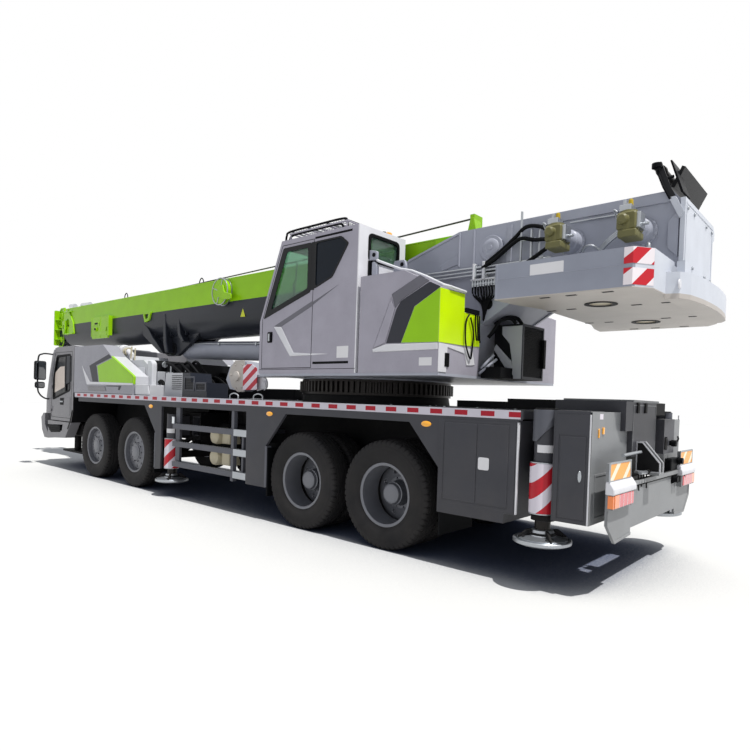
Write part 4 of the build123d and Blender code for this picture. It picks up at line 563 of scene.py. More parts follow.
def wheel(index, x, twin):
    for side in ("left", "right"):
        body = f"wheel_{index}_{side}"
        tyres = [tyre_at(x, WHEEL_Y)]
        if twin:
            tyres.append(tyre_at(x, WHEEL_Y - TWIN_PITCH))
            rim = rim_parts(x, WHEEL_Y, -0.1775, 0.03, 8, 0.252, 0.026)
            drum = turned([(-0.3, 0.205), (-0.16, 0.205), (-0.15, 0.19), (-0.15, 0.06), (-0.3, 0.06)],
                          (x, WHEEL_Y - 0.09, TYRE_R), "y", 48, True)
            inner = turned([(-0.134, 0.356), (-0.125, 0.358), (-0.119, 0.331), (0.119, 0.331),
                            (0.125, 0.358), (0.134, 0.356), (0.134, 0.312), (-0.134, 0.312)],
                           (x, WHEEL_Y - TWIN_PITCH, TYRE_R), "y", 72, True)
            metal = joined(rim, drum, inner)
        else:
            rim = rim_parts(x, WHEEL_Y, 0.062, 0.125, 10, 0.248, 0.024)
            drum = turned([(-0.145, 0.205), (0.01, 0.205), (0.02, 0.19), (0.02, 0.06), (-0.145, 0.06)],
                          (x, WHEEL_Y, TYRE_R), "y", 48, True)
            metal = joined(rim, drum)
        rubber = joined(*tyres)
        if side == "right":
            rubber, metal = mirrored(rubber), mirrored(metal)
        piece(f"tyre_{index}_{side}", rubber, body, tyre_rubber, [body])
        piece(f"rim_{index}_{side}", metal, body, rim_silver)


for index, (axle_x, twin) in enumerate(((7.3, False), (5.75, False), (1.37, True), (0.0, True))):
    wheel(index + 1, axle_x, twin)

# Carrier
SIDE_Y = 1.4

# Deck edges, marker lamps and the tool box doors
group("deck_edge_strips", "carrier", foil_deck, "carrier_dark",
      box(-1.64, 8.2, SIDE_Y, SIDE_Y + 0.004, 1.53, 1.612, 0.001), both=True)
MARKER_X = (-0.575, 1.99, 5.13)
domes = [moved(turned([(0, 0.03), (0.006, 0.03), (0.012, 0.022), (0.014, 0.0006)], (x, SIDE_Y, 1.435), "y",
                      24), turn=np.diag([2.1, 1, 1]), about=(x, SIDE_Y, 1.435)) for x in MARKER_X]
group("side_marker_lamps", "carrier", lens_amber, "steel", *domes, both=True)
DOORS_X = ((-1.185, -0.815), (-1.525, -1.195))
leaves = [slab(rounded([(x0, 0.695), (x1, 0.695), (x1, 1.465), (x0, 1.465)], 0.012), SIDE_Y - 0.002,
               SIDE_Y + 0.006, "y", 0.003) for x0, x1 in DOORS_X]
box_rim = hoop([(-1.6, 0.655), (-0.755, 0.655), (-0.755, 1.5), (-1.6, 1.5)], [(-1.54, 0.68), (-0.8, 0.68),
         (-0.8, 1.48), (-1.54, 1.48)], SIDE_Y - 0.002, SIDE_Y + 0.003)
group("tool_box_doors", "carrier", enamel_charcoal, "carrier_dark", box_rim, *leaves, both=True)
group("tool_box_edges", "carrier", enamel_pale, "carrier_dark",
      boxes([(-1.624, -1.612, 1.37, SIDE_Y + 0.004, 0.645, 1.5)], 0.002), both=True)
group("tool_box_plate", "carrier", label_film, "carrier_dark",
      slab(rounded([(-1.21, 1.025), (-1.33, 1.025), (-1.33, 1.145), (-1.21, 1.145)], 0.02), SIDE_Y + 0.005,
           SIDE_Y + 0.008, "y", 0.001))

# Skirt edge, mudflaps and the step rails' pale ends
group("skirt_flange", "carrier", enamel_rail, "carrier_dark",
      boxes([(2.035, 2.065, 1.32, SIDE_Y + 0.006, 0.45, 1.0),
             (4.955, 4.985, 1.32, SIDE_Y + 0.004, 0.42, 1.0)], 0.003), both=True)
flaps = boxes([(-0.775, -0.755, 0.75, 1.39, 0.3, 0.86), (2.02, 2.035, 0.8, 1.39, 0.33, 0.98),
               (4.99, 5.005, 1.02, 1.39, 0.33, 0.98)], 0.004)
group("mudflaps", "carrier", black_rubber, "tyre", flaps, both=True)
ends = []
for rail_z in (1.14, 0.86, 0.54):
    ends.append(box(2.485, 2.785, 1.325, SIDE_Y + 0.004, rail_z - 0.052, rail_z + 0.045, 0.006))
group("step_ends", "carrier", zinc_steel, "carrier_dark", *ends)
treads = [slab([(x, 1.345), (x + 0.03, 1.345), (x + 0.03, 1.395), (x, 1.395)], z + 0.04, z + 0.045, "z",
               0.002) for z in (1.14, 0.86, 0.54) for x in np.arange(2.86, 4.36, 0.06)]
group("step_treads", "carrier", zinc_steel, "carrier_dark", *treads)
cans, bands = [], []
for can_x, can_z in ((3.46, 1.04), (3.46, 0.72)):
    cans.append(turned([(0, 0.105), (0.012, 0.118), (0.04, 0.122), (0.3, 0.122), (0.33, 0.11),
                        (0.345, 0.06), (0.348, 0.0006)], (can_x, 0.93, can_z), "y", 40))
    bands.append(box(can_x - 0.34, can_x - 0.14, 1.02, 1.22, can_z - 0.105, can_z + 0.08, 0.01))
group("air_filter_cans", "carrier", cream_paint, "steel", *cans)
group("filter_labels", "carrier", cream_paint, "steel", *bands)
group("rail_braces", "carrier", enamel_rail, "carrier_dark",
      boxes([(2.6, 2.64, 1.3, 1.36, 0.5, 1.1), (4.3, 4.42, 1.3, 1.345, 0.5, 1.46)], 0.003))
group("amber_beacons", "carrier", lens_clear, "steel", boxes([(4.4, 4.45, 1.37, 1.402, 1.18, 1.29)], 0.006))

# Engine side covers: lime panel, dark stripe and pale embossed frame
cover_lime = [(7.2, 2.14), (6.58, 2.272), (5.79, 1.938), (5.79, 1.82), (7.1, 1.82)]
cover_stripe = [(7.55, 2.15), (6.73, 2.352), (6.62, 2.288), (7.25, 2.155), (7.15, 1.83), (7.39, 1.83)]
cover_frame = [(7.88, 2.15), (7.51, 1.838), (5.77, 1.818), (5.77, 1.782), (7.64, 1.782)]
group("cover_lime_panels", "carrier", enamel_lime, "lime", slab(cover_lime, SIDE_Y, SIDE_Y + 0.004, "y",
         0.001), both=True)
group("cover_dark_stripes", "carrier", vinyl_dark, "carrier_dark",
      slab(cover_stripe, SIDE_Y, SIDE_Y + 0.003, "y", 0.0008),
      slab([(6.8, 1.768), (6.2, 1.768), (6.27, 1.69), (6.33, 1.69), (6.31, 1.752), (6.8, 1.752)], SIDE_Y,
           SIDE_Y + 0.003, "y", 0.0008), both=True)
group("cover_frames", "carrier", enamel_pale, "cab_grey", slab(cover_frame, SIDE_Y, SIDE_Y + 0.008, "y",
         0.006), both=True)
group("cover_edges", "carrier", enamel_lime, "lime",
      slab([(6.612, 2.314), (5.772, 1.954), (5.742, 1.93), (5.757, 1.8), (5.79, 1.8), (5.786, 1.925),
            (5.806, 1.935), (6.62, 2.285)], 1.362, 1.404, "y", 0.004), both=True)
group("cover_lower_ribs", "carrier", enamel_carrier, "cab_grey",
      slab([(7.62, 1.752), (6.86, 1.752), (6.8, 1.665), (7.56, 1.665)], SIDE_Y, SIDE_Y + 0.01, "y", 0.007),
      both=True)
group("cover_shut_lines", "carrier", black_rubber, "carrier_dark",
      boxes([(8.262, 8.27, 1.385, SIDE_Y - 0.004, 1.62, 2.53),
             (5.8, 8.25, SIDE_Y - 0.006, SIDE_Y + 0.001, 1.613, 1.622)], 0.001), both=True)

# Polyester powder on the hood: clean white with a light peel.
enamel_white = finish("enamel_white", "#cbccd0", 0.3, grain=9, relief=0.05, coat=0.1, edge=0.1)
enamel_covers_grey = finish("enamel_covers_grey", "#a9abb0", 0.35, grain=9, relief=0.05, edge=0.2)
# Hood end, intake pipe, grille boxes and steps behind the covers
hood_end = rounded([(5.835, 1.63), (5.64, 1.63), (5.64, 2.19), (5.7, 2.245), (5.835, 2.25)], 0.05, 5)
group("hood_end", "carrier", enamel_white, "cab_grey", slab(hood_end, 1.02, 1.118, "y", 0.02),
      slab(rounded([(6.16, 1.72), (5.9, 1.72), (5.9, 2.12), (6.16, 2.12)], 0.03), 1.112, 1.124, "y", 0.009),
      slab(rounded([(5.99, 1.84), (5.93, 1.84), (5.93, 2.02), (5.99, 2.02)], 0.01), 1.122, 1.128, "y",
           0.003))
group("hood_back", "carrier", enamel_covers_grey, "cab_grey",
      slab(rounded([(0.74, 1.63), (1.03, 1.63), (1.03, 2.045), (0.74, 2.045)], 0.01), 5.6, 5.64, "x",
           0.006))
# The engine bay: a black sheet over the hood's back wall and a black block inboard of the hood end stand
# partly for the machinery in the bay and partly as painted shade inside it.
group("engine_bay", "carrier", chassis_black, "carrier_dark", slab(hood_end, 0.3, 1.02, "y", 0.01),
      box(5.8, 5.829, -1.1, 0.31, 1.62, 2.24, 0.003),
      *[tube(smooth_path([(5.62, y, 2.2), (5.4, y + 0.02, 2.16 + 0.03 * k), (5.15, y - 0.06, 1.98),
                          (5.0, y - 0.1, 1.82)], 6), 0.026, 12) for k,
        y in enumerate((0.86, 0.68, 0.52, 0.36))],
      *[tube(smooth_path([(5.8, y, 2.0), (5.5, y - 0.04, 2.02 - 0.05 * k), (5.1, y, 1.8),
                          (4.7, y + 0.1, 1.7)], 6), 0.03, 12) for k,
        y in enumerate((0.15, -0.1, -0.35, -0.6))],
      boxes([(5.62, 5.8, -0.95, -0.4, 1.63, 2.1), (4.55, 5.5, -0.55, 0.25, 1.62, 1.78),
             (5.1, 5.6, 0.35, 0.66, 1.63, 2.05)], 0.02))
group("bay_pipes", "carrier", zinc_steel, "steel", tube([(5.58, 0.8, 1.7), (5.58, 0.8, 2.16)], 0.014, 10),
      tube([(5.56, 0.6, 1.75), (5.4, 0.6, 2.1)], 0.012, 10),
      turned([(0, 0.0006), (0, 0.05), (0.02, 0.055), (0.05, 0.04), (0.05, 0.0006)], (5.595, 0.9, 2.17), "x",
             24))
group("bay_elbow", "carrier", black_rubber, "carrier_dark",
      tube(smooth_path([(5.6, 1.0, 1.855), (5.53, 1.0, 1.87), (5.47, 1.0, 1.83), (5.44, 1.0, 1.75),
                        (5.46, 0.99, 1.66)], 6), 0.034, 12))
group("intake_pipe", "carrier", enamel_pale, "cab_grey",
      turned([(0, 0.0006), (0, 0.105), (0.02, 0.125), (0.1, 0.13), (0.74, 0.13), (0.82, 0.115),
              (0.84, 0.0006)], (6.98, 0.95, 2.445), "x", 40),
      tube(smooth_path([(7.0, 0.95, 2.44), (6.9, 0.95, 2.44), (6.8, 0.93, 2.36), (6.78, 0.92, 2.24)], 5),
           0.06, 20))
group("intake_bands", "carrier", zinc_steel, "steel",
      *[turned([(-0.014, 0.128), (-0.014, 0.136), (0.014, 0.136), (0.014, 0.128)], (x, 0.95, 2.445), "x",
               40, True) for x in (7.08, 7.38, 7.68)])
group("intake_rings", "carrier", cream_paint, "steel",
      *[turned([(-0.012, 0.062), (-0.012, 0.08), (0.012, 0.08), (0.012, 0.062)], (x, 0.95, 2.44), "x", 32,
               True) for x in (6.95, 6.88)], tube([(6.74, 0.98, 2.26), (6.7, 0.98, 2.53)], 0.016, 10),
      tube([(6.66, 0.94, 2.26), (6.64, 0.94, 2.5)], 0.014, 10))
group("intake_mouth", "carrier", black_rubber, "carrier_dark",
      turned([(-0.016, 0.0006), (-0.016, 0.055), (0.004, 0.06), (0.004, 0.0006)], (6.98, 0.95, 2.44), "x",
             24), turned([(0.126, 0.0006), (0.126, 0.045), (0.134, 0.045), (0.134, 0.0006)],
                         (7.66, 0.95, 2.44), "y", 24))
GRILLE_Y = 1.102
fins = [slab([(x0, z), (x1, z), (x1, z + 0.01), (x0, z + 0.01)], GRILLE_Y - 0.004, GRILLE_Y + 0.012, "y",
             0.003) for x0, x1 in ((4.32, 4.58), (3.99, 4.24))
        for z in np.arange(1.745, 1.92 if x0 > 4.3 else 1.83, 0.026)]
fins += [slab([(x0, z), (x1, z), (x1, z + 0.009), (x0, z + 0.009)], GRILLE_Y - 0.004, GRILLE_Y + 0.01, "y",
              0.003) for x0, x1 in ((4.69, 4.99),) for z in np.arange(1.735, 1.96, 0.032)]
group("grille_slats", "carrier", chassis_black, "carrier_dark", *fins)
frames = [hoop([(x0 - 0.02, z0 - 0.02), (x1 + 0.02, z0 - 0.02), (x1 + 0.02, z1 + 0.02),
                (x0 - 0.02, z1 + 0.02)], [(x0, z0), (x1, z0), (x1, z1), (x0, z1)], GRILLE_Y - 0.004,
               GRILLE_Y + 0.008) for x0, x1, z0, z1 in ((4.32, 4.58, 1.735, 1.93),
         (3.99, 4.24, 1.735, 1.835))]
group("grille_frames", "carrier", enamel_rail, "carrier_dark", *frames)
group("cover_steps", "carrier", enamel_white, "cab_grey",
      *[slab(rounded([(5.735, y), (5.735, y + 0.04), (5.29, y + 0.04), (5.29, y)], 0.008), 1.786, 1.796,
             "z", 0.003) for y in np.arange(0.92, 1.34, 0.06)],
      slab(rounded([(5.25, 1.62), (5.745, 1.62), (5.745, 1.8), (5.3, 1.8)], 0.02), 1.355, 1.375, "y",
           0.006))

# Cable tray from the slew ring to the tail, and valve blocks on the deck's far side
group("deck_tray", "carrier", chassis_black, "carrier_dark",
      boxes([(-2.34, -1.01, -0.62, 0.5, 1.6, 1.73), (-1.01, -0.35, -0.62, 0.5, 1.6, 1.695)], 0.01),
      boxes([(2.62, 3.4, -1.15, -0.45, 1.6, 1.69), (3.45, 4.35, -1.1, -0.3, 1.6, 1.8)], 0.01))

# Lashing loops on the deck beside the slew ring
loops = [tube(smooth_path([(x + 0.1, 1.36, 1.61), (x + 0.09, 1.36, 1.67), (x, 1.36, 1.694),
                           (x - 0.09, 1.36, 1.67), (x - 0.1, 1.36, 1.61)], 6), 0.009, 10)
         for x in (2.85, 2.3)]
group("lashing_loops", "carrier", zinc_steel, "steel", *loops, both=True)
group("deck_plates", "carrier", enamel_charcoal, "carrier_dark",
      *[slab(rounded([(x0, y0), (x1, y0), (x1, y1), (x0, y1)], 0.02), 1.6105, 1.617, "z", 0.002) for x0, x1,
        y0, y1 in ((-1.55, -0.62, 0.3, 1.3), (-0.56, 0.1, 0.3, 1.3), (2.6, 3.5, -1.3, -0.2),
                   (-1.55, -0.62, -1.3, -0.3), (-0.56, 0.1, -1.3, -0.3), (2.62, 3.5, 0.2, 0.62))])
group("deck_plate_bolts", "carrier", zinc_steel, "steel",
      bolts([(x, y) for x in (-1.5, -1.08, -0.68, -0.5, 0.04, 2.66, 3.44)
             for y in (-1.24, -0.36, 0.36, 1.24) if x < 2 or y < 0], 0.012, 0.008, "z", 1.617))
ring_bolts = [(1.34 + 0.98 * math.cos(t), 0.98 * math.sin(t))
              for t in np.linspace(0, 2 * math.pi, 60, endpoint=False)]
group("slew_ring_bolts", "carrier", greased_steel, "steel", bolts(ring_bolts, 0.016, 0.012, "z", 1.919))

# Rear locker: door, handle, edges and wall stickers
door = rounded([(-2.255, 0.695), (-2.03, 0.695), (-2.03, 1.405), (-2.255, 1.405)], 0.01)
group("locker_door", "carrier", enamel_charcoal, "carrier_dark",
      slab(door, SIDE_Y - 0.001, SIDE_Y + 0.006, "y", 0.003),
      hoop([(-2.285, 0.66), (-1.985, 0.66), (-1.985, 1.6), (-2.285, 1.6)],
           [(-2.268, 0.682), (-2.015, 0.682), (-2.015, 1.42), (-2.268, 1.42)], SIDE_Y - 0.001,
           SIDE_Y + 0.004))
group("locker_handle", "carrier", zinc_steel, "steel",
      slab(oval(0.034, 0.1, (-2.213, 1.065), 24), SIDE_Y + 0.004, SIDE_Y + 0.016, "y", 0.005))
group("locker_edge", "carrier", enamel_pale, "carrier_dark",
      boxes([(-2.297, -2.284, 1.392, 1.406, 0.65, 1.6)], 0.002), both=True)
WALL_X = -2.3005
group("wall_labels", "carrier", label_film, "carrier_dark",
      slab([(1.385, 1.565), (1.385, 1.612), (1.02, 1.612), (1.02, 1.575), (1.14, 1.565), (1.14, 1.505),
            (1.36, 1.505), (1.36, 1.56)], WALL_X - 0.002, WALL_X, "x", 0.0004))
group("wall_red_mark", "carrier", foil_hazard, "carrier_dark",
      boxes([(WALL_X - 0.003, WALL_X - 0.001, 1.15, 1.23, 1.56, 1.608)], 0.0004))
group("wall_grips", "carrier", lens_amber, "steel",
      boxes([(-2.315, WALL_X, 1.245, 1.26, 1.4, 1.48), (-2.315, WALL_X, 1.13, 1.165, 1.43, 1.49)], 0.004))
group("wall_flange", "carrier", enamel_tail, "cab_grey", box(-2.303, -2.284, 0.5, 1.4, 0.65, 1.625, 0.002),
      box(-2.303, -2.284, -1.4, -0.44, 0.65, 1.55, 0.002),
      hoop([(0.98, 0.69), (1.31, 0.69), (1.31, 1.085), (0.98, 1.085)],
           [(1.0, 0.71), (1.29, 0.71), (1.29, 1.065), (1.0, 1.065)], -2.308, -2.3, "x"))

# Rear bumper: lamps, marker boards, tow coupling's pin and chain
LAMP_X = -2.49
lenses, housings, amber, boards, board_rims, clips = [], [], [], [], [], []
lenses.append(slab(rounded([(0.86, 0.818), (1.345, 0.818), (1.345, 0.93), (0.86, 0.93)], 0.012),
                   LAMP_X - 0.008, LAMP_X + 0.004, "x", 0.004))
lenses.append(box(LAMP_X - 0.004, LAMP_X + 0.045, 1.355, 1.376, 0.82, 0.928, 0.004))
housings.append(slab(rounded([(LAMP_X - 0.012, 0.936), (LAMP_X - 0.012, 0.985), (LAMP_X + 0.03, 1.048),
                              (LAMP_X + 0.065, 1.048), (LAMP_X + 0.065, 0.936)], 0.012), 0.8, 1.385, "y",
                     0.008))
for y in (0.93, 1.03, 1.13, 1.23):
    clips.append(box(LAMP_X - 0.0095, LAMP_X - 0.006, y - 0.003, y + 0.003, 0.82, 0.928, 0.0006))
boards.append(box(-2.459, -2.4545, 0.86, 1.375, 1.052, 1.195, 0.001))
board_rims.append(hoop([(0.845, 1.035), (1.385, 1.035), (1.385, 1.208), (0.845, 1.208)],
                       [(0.862, 1.052), (1.37, 1.052), (1.37, 1.192), (0.862, 1.192)], -2.463, -2.452, "x"))
group("tail_lamp_lenses", "carrier", lens_red, "steel", *lenses, both=True)
group("tail_lamp_ribs", "carrier", lens_clear, "steel", *clips, both=True)
group("tail_lamp_housings", "carrier", enamel_pale, "cab_grey", *housings, both=True)
group("marker_boards", "carrier", foil_orange, "cab_grey", *boards, both=True)
group("marker_board_rims", "carrier", zinc_steel, "steel", *board_rims, both=True)
group("bumper_top_bar", "carrier", chassis_black, "carrier_dark",
      box(-2.452, -2.438, -0.8, 0.8, 0.945, 0.968, 0.004), box(-2.445, -2.425, -1.3, 1.3, 0.985, 1.006,
         0.004))
group("bumper_folds", "carrier", enamel_tail, "cab_grey",
      slab([(0.74, 0.505), (1.155, 0.485), (1.36, 0.665), (1.36, 0.79), (1.335, 0.79), (1.335, 0.68),
            (1.148, 0.512), (0.74, 0.532)], -2.446, -2.438, "x", 0.003), both=True)
lug_side = [(-2.352, 1.055), (-2.352, 1.345), (-2.412, 1.345), (-2.578, 1.152), (-2.578, 1.055)]
edges = [hoop(lug_side, inset(lug_side, 0.014), y - 0.004, y + 0.004) for y in (0.262, 0.363)]
group("tow_lug_edges", "carrier", enamel_pale, "cab_grey", *edges)
group("tow_lug_faces", "carrier", chassis_black, "black_steel",
      *[slab(inset(lug_side, 0.012), y - 0.003, y + 0.003, "y", 0.001) for y in (0.2595, 0.3655)])
group("tow_bars", "carrier", zinc_steel, "steel", tube([(-2.42, 0.95, 1.245), (-2.42, 0.46, 1.252)], 0.016,
         14), tube([(-2.47, 0.62, 1.07), (-2.47, 0.1, 1.045)], 0.018, 14))
group("tow_bar_sleeves", "carrier", chassis_black, "black_steel",
      tube([(-2.47, 0.42, 1.061), (-2.47, 0.05, 1.043)], 0.026, 14))
group("hanging_rods", "carrier", chassis_black, "black_steel",
      *[tube([(-2.452, y, 1.06), (-2.456, y - 0.006, z)], 0.007, 8) for y,
        z in ((0.6, 0.9), (0.52, 0.93), (0.44, 0.95), (0.36, 0.9))])
rear_light = smooth_path([(-2.4, -0.8, 1.0), (-2.47, -0.86, 0.98), (-2.49, -0.92, 0.92),
                          (-2.46, -1.0, 0.86)], 6)
group("rear_cables", "carrier", black_rubber, "carrier_dark", tube(rear_light, 0.012, 10),
      tube(smooth_path([(-2.36, -0.7, 1.2), (-2.4, -0.8, 1.27), (-2.42, -0.88, 1.33), (-2.4, -0.95, 1.36)],
                       6), 0.01, 10))
group("air_couplings", "carrier", black_rubber, "carrier_dark",
      *[turned([(0, 0.0006), (0, 0.034), (0.05, 0.036), (0.06, 0.026), (0.075, 0.024), (0.08, 0.0006)],
               (x, y, z), "x", 24) for x, y, z in ((-2.5, -0.62, 0.91), (-2.5, -0.72, 0.91),
            (-2.5, -0.8, 1.1), (-2.47, -0.62, 1.3))], box(-2.44, -2.37, -0.9, -0.56, 0.86, 1.13, 0.01))
group("box_latches", "carrier", chassis_black, "black_steel",
      boxes([(-2.365, -2.35, 0.1, 0.16, 1.62, 1.72), (-2.365, -2.35, 0.34, 0.4, 1.62, 1.72),
             (-2.41, -2.398, -0.5, -0.42, 1.24, 1.36)], 0.004))
group("box_lids", "carrier", enamel_tail, "cab_grey",
      slab(rounded([(-0.312, 1.725), (0.512, 1.725), (0.512, 1.748), (-0.312, 1.748)], 0.004), -2.358,
           -1.66, "x", 0.004), hoop([(-0.24, 1.215), (0.49, 1.215), (0.49, 1.7), (-0.24, 1.7)],
                                    [(-0.232, 1.223), (0.482, 1.223), (0.482, 1.692), (-0.232, 1.692)],
                                    -2.353, -2.349, "x"))

# Outriggers: guards, hazard sleeves, labels and the floats' brackets
POSTS = (("front_left", 4.6, 1, 1.33, 0.2, (0.45, 0.92)), ("front_right", 4.31, -1, 1.33, 0.2,
         (0.45, 0.92)), ("rear_left", -1.84, 1, 1.63, 0.38, (0.69, 1.14)), ("rear_right", -2.13, -1, 1.63,
         0.38, (0.69, 1.14)))
POST_Y = 1.285
for name, x, side, top, float_z, (wrap_low, wrap_high) in POSTS:
    def sided(part):
        return part if side > 0 else mirrored(part)

    beam, jack = f"outrigger_beam_{name}", f"outrigger_jack_{name}"
    reach = (40, 215)
    group(f"hazard_sleeve_{name}", beam, foil_hazard, "carrier_dark",
          sided(sleeve((x + 0.012, POST_Y), 0.124, 0.006, wrap_low, wrap_high, *reach)))
    group(f"sleeve_rims_{name}", beam, zinc_steel, "steel",
          sided(sleeve((x + 0.012, POST_Y), 0.124, 0.01, wrap_high, wrap_high + 0.012, *reach)),
          sided(sleeve((x + 0.012, POST_Y), 0.124, 0.01, wrap_low - 0.012, wrap_low, *reach)))
    group(f"post_label_{name}", beam, label_film, "carrier_dark",
          sided(sleeve((x, POST_Y), 0.1015, 0.002, wrap_high + 0.1, wrap_high + 0.17, 70, 165)))
    if name.startswith("rear"):
        guard = sleeve((x, POST_Y), 0.116, 0.006, 1.36, 1.628, 20, 235)
        lowest = guard[0][:, 2] < 1.45
        guard[0][lowest, 2] += np.clip((x + 0.02 - guard[0][lowest, 0]) * 1.1, -0.02, 0.14)
        group(f"post_guard_{name}", beam, enamel_rail, "carrier_dark", sided(guard))
    cap = turned([(-0.004, 0.0006), (-0.004, 0.104), (0.006, 0.104), (0.012, 0.094), (0.012, 0.0006)],
                 (x, POST_Y, top), "z", 48)
    foot = turned([(0, 0.096), (0, 0.108), (0.05, 0.108), (0.06, 0.102), (0.06, 0.096)],
                  (x, POST_Y, 0.445 if name.startswith("front") else 0.622), "z", 48, True)
    group(f"post_rings_{name}", beam, chassis_black, "black_steel", sided(cap), sided(foot))
    dish = [(0.0, 0.0006), (0.0, 0.215), (0.006, 0.232), (0.02, 0.262), (0.046, 0.2625), (0.052, 0.256),
            (0.05, 0.24), (0.04, 0.222), (0.06, 0.225), (0.082, 0.125), (0.1, 0.112), (0.132, 0.098),
            (0.136, 0.074), (0.136, 0.0006)]
    leg = turned([(0.1, 0.0006), (0.1, 0.0715), (top - 0.1 - float_z, 0.0715),
                  (top - 0.1 - float_z, 0.0006)], (x, POST_Y, float_z), "z", 40)
    group(f"float_{name}", jack, zinc_steel, "steel",
          sided(turned(dish, (x, POST_Y, float_z + 0.02), "z", 72)), replaces=[jack])
    group(f"float_leg_{name}", jack, greased_steel, "black_steel", sided(leg))
    lugs = []
    for k in range(4):
        turn = math.radians(45 + 90 * k)
        rib = slab([(0.105, 0.066), (0.225, 0.052), (0.225, 0.075), (0.15, 0.135), (0.105, 0.14)], -0.012,
                   0.012, "y", 0.004)
        spin = [[math.cos(turn), -math.sin(turn), 0], [math.sin(turn), math.cos(turn), 0], [0, 0, 1]]
        lugs.append(sided(moved(moved(rib, turn=spin), (x, POST_Y, float_z + 0.02))))
        pin = tube([(0.185, -0.035, 0.088), (0.185, 0.035, 0.088)], 0.013, 12)
        lugs.append(sided(moved(moved(pin, turn=spin), (x, POST_Y, float_z))))
    clamp_ring = turned([(0.1, 0.098), (0.1, 0.12), (0.13, 0.12), (0.13, 0.098)], (x, POST_Y, float_z), "z",
                        40, True)
    group(f"float_brackets_{name}", jack, chassis_black, "black_steel", *lugs, sided(clamp_ring))

# Carrier cab: doors, mirrors, window seals and trim
def cab_part(name, body_side, material, slot_name, part):
    body = f"cab_door_{body_side}"
    group(f"{name}_{body_side}", body, material, slot_name, part if body_side == "left" else mirrored(part))


CAB_Y = 1.37
WINDOW = rounded([(8.53, 1.66), (9.4, 1.46), (9.4, 1.88), (9.235, 2.37), (8.53, 2.39)], 0.05)
SEAL = inset(WINDOW, -0.022)
panel = rounded([(8.5, 1.13), (9.4, 1.13), (9.4, 1.36), (8.5, 1.52)], 0.04)
for body_side in ("left", "right"):
    cab_part("door_seal", body_side, black_rubber, "carrier_dark",
          hoop(SEAL, inset(WINDOW, 0.018), CAB_Y - 0.008, CAB_Y + 0.006))
    cab_part("door_frame_bar", body_side, black_rubber, "carrier_dark",
          box(8.72, 8.775, CAB_Y - 0.03, CAB_Y + 0.006, 1.63, 2.38, 0.004))
    cab_part("door_rear_pane", body_side, dark_glass, "glass",
          slab(rounded([(8.465, 1.84), (8.725, 1.78), (8.725, 2.37), (8.465, 2.37)], 0.03), CAB_Y - 0.002,
               CAB_Y + 0.0035, "y", 0.001))
    cab_part("door_swage", body_side, enamel_carrier, "cab_grey",
          slab(panel, CAB_Y - 0.002, CAB_Y + 0.006, "y", 0.004))
    cab_part("door_grip_recess", body_side, black_rubber, "carrier_dark",
          slab(rounded([(8.82, 1.345), (9.0, 1.345), (9.0, 1.49), (8.82, 1.49)], 0.02), CAB_Y + 0.004,
               CAB_Y + 0.012, "y", 0.003))
    cab_part("door_grip", body_side, zinc_steel, "steel",
          slab(rounded([(8.84, 1.4), (8.98, 1.4), (8.98, 1.43), (8.84, 1.43)], 0.01), CAB_Y + 0.01,
               CAB_Y + 0.026, "y", 0.005))


def cab_front(low, high, reach, out, deep, power=9):
    """A sheet round the cab's front: at each height the depth past the doors is that of the front
    times the power-th root of 1 less the power-th power of y over the half width."""
    level = np.linspace(low, high, 30)[:, None]
    front = np.interp(level, [1.0, 1.5, 2.4, 2.52], [9.895, 9.885, 9.565, 9.45])
    start = 9.488 - np.maximum(level - 1.9, 0) * 0.309
    turn = np.linspace(-1, 1, 64)[None]
    y = 1.374 * reach * np.sign(turn) * (1 - (1 - np.abs(turn)) ** 3) + 0 * level
    depth = (1 - np.minimum(np.abs(y / 1.374), 1) ** power) ** (1 / power)
    sheets = [np.stack([start + (front - start) * depth + off, y * (1 - 0.3 * (out - off) / 1.374),
                        level + 0 * y], -1) for off in (out, out - deep)]
    return shell(np.concatenate([sheets[0], sheets[1][:, ::-1]], 1))


group("cab_front", "carrier", enamel_carrier, "cab_grey", cab_front(1.145, 2.52, 1.0, 0.0, 0.014))
group("wind_screen", "carrier", dark_glass, "glass", cab_front(1.6, 2.4, 0.972, 0.005, 0.004))
group("wing_steps", "carrier", black_rubber, "carrier_dark",
      slab(rounded([(9.74, 0.905), (8.985, 0.905), (8.965, 0.765), (9.47, 0.735)], 0.02), 1.368, 1.376, "y",
           0.002), *[box(9.02, 9.56, 1.374, 1.386, z, z + 0.012, 0.003) for z in (0.78, 0.82, 0.86)],
      both=True)
group("cab_seams", "carrier", black_rubber, "carrier_dark",
      hoop(inset([(8.45, 1.08), (9.47, 1.08), (9.47, 1.9), (9.3, 2.45), (8.45, 2.45)], -0.007),
           inset([(8.45, 1.08), (9.47, 1.08), (9.47, 1.9), (9.3, 2.45), (8.45, 2.45)], -0.001),
           CAB_Y - 0.03, CAB_Y + 0.002), both=True)
group("cab_roof_trim", "carrier", enamel_pale, "cab_grey",
      slab(rounded([(8.37, 2.545), (9.46, 2.515), (9.4, 2.56), (9.2, 2.578), (8.37, 2.582)], 0.02), -1.33,
           1.33, "y", 0.012), slab(rounded([(8.6, 2.57), (9.1, 2.57), (9.04, 2.62), (8.66, 2.62)], 0.02),
                                   -0.45, 0.45, "y", 0.02))
group("cab_back_guard", "carrier", chassis_black, "carrier_dark",
      slab([(8.35, 1.6), (8.35, 1.232), (8.43, 1.01), (8.44, 1.01), (8.362, 1.235), (8.362, 1.6)], -1.366,
           1.366, "y", 0.001))
group("cab_arch", "carrier", chassis_black, "black_steel",
      slab([(8.36, 1.24), (8.45, 1.02), (8.58, 0.84), (8.62, 0.86), (8.5, 1.03), (8.4, 1.26)], 1.17, 1.376,
           "y", 0.006), both=True)
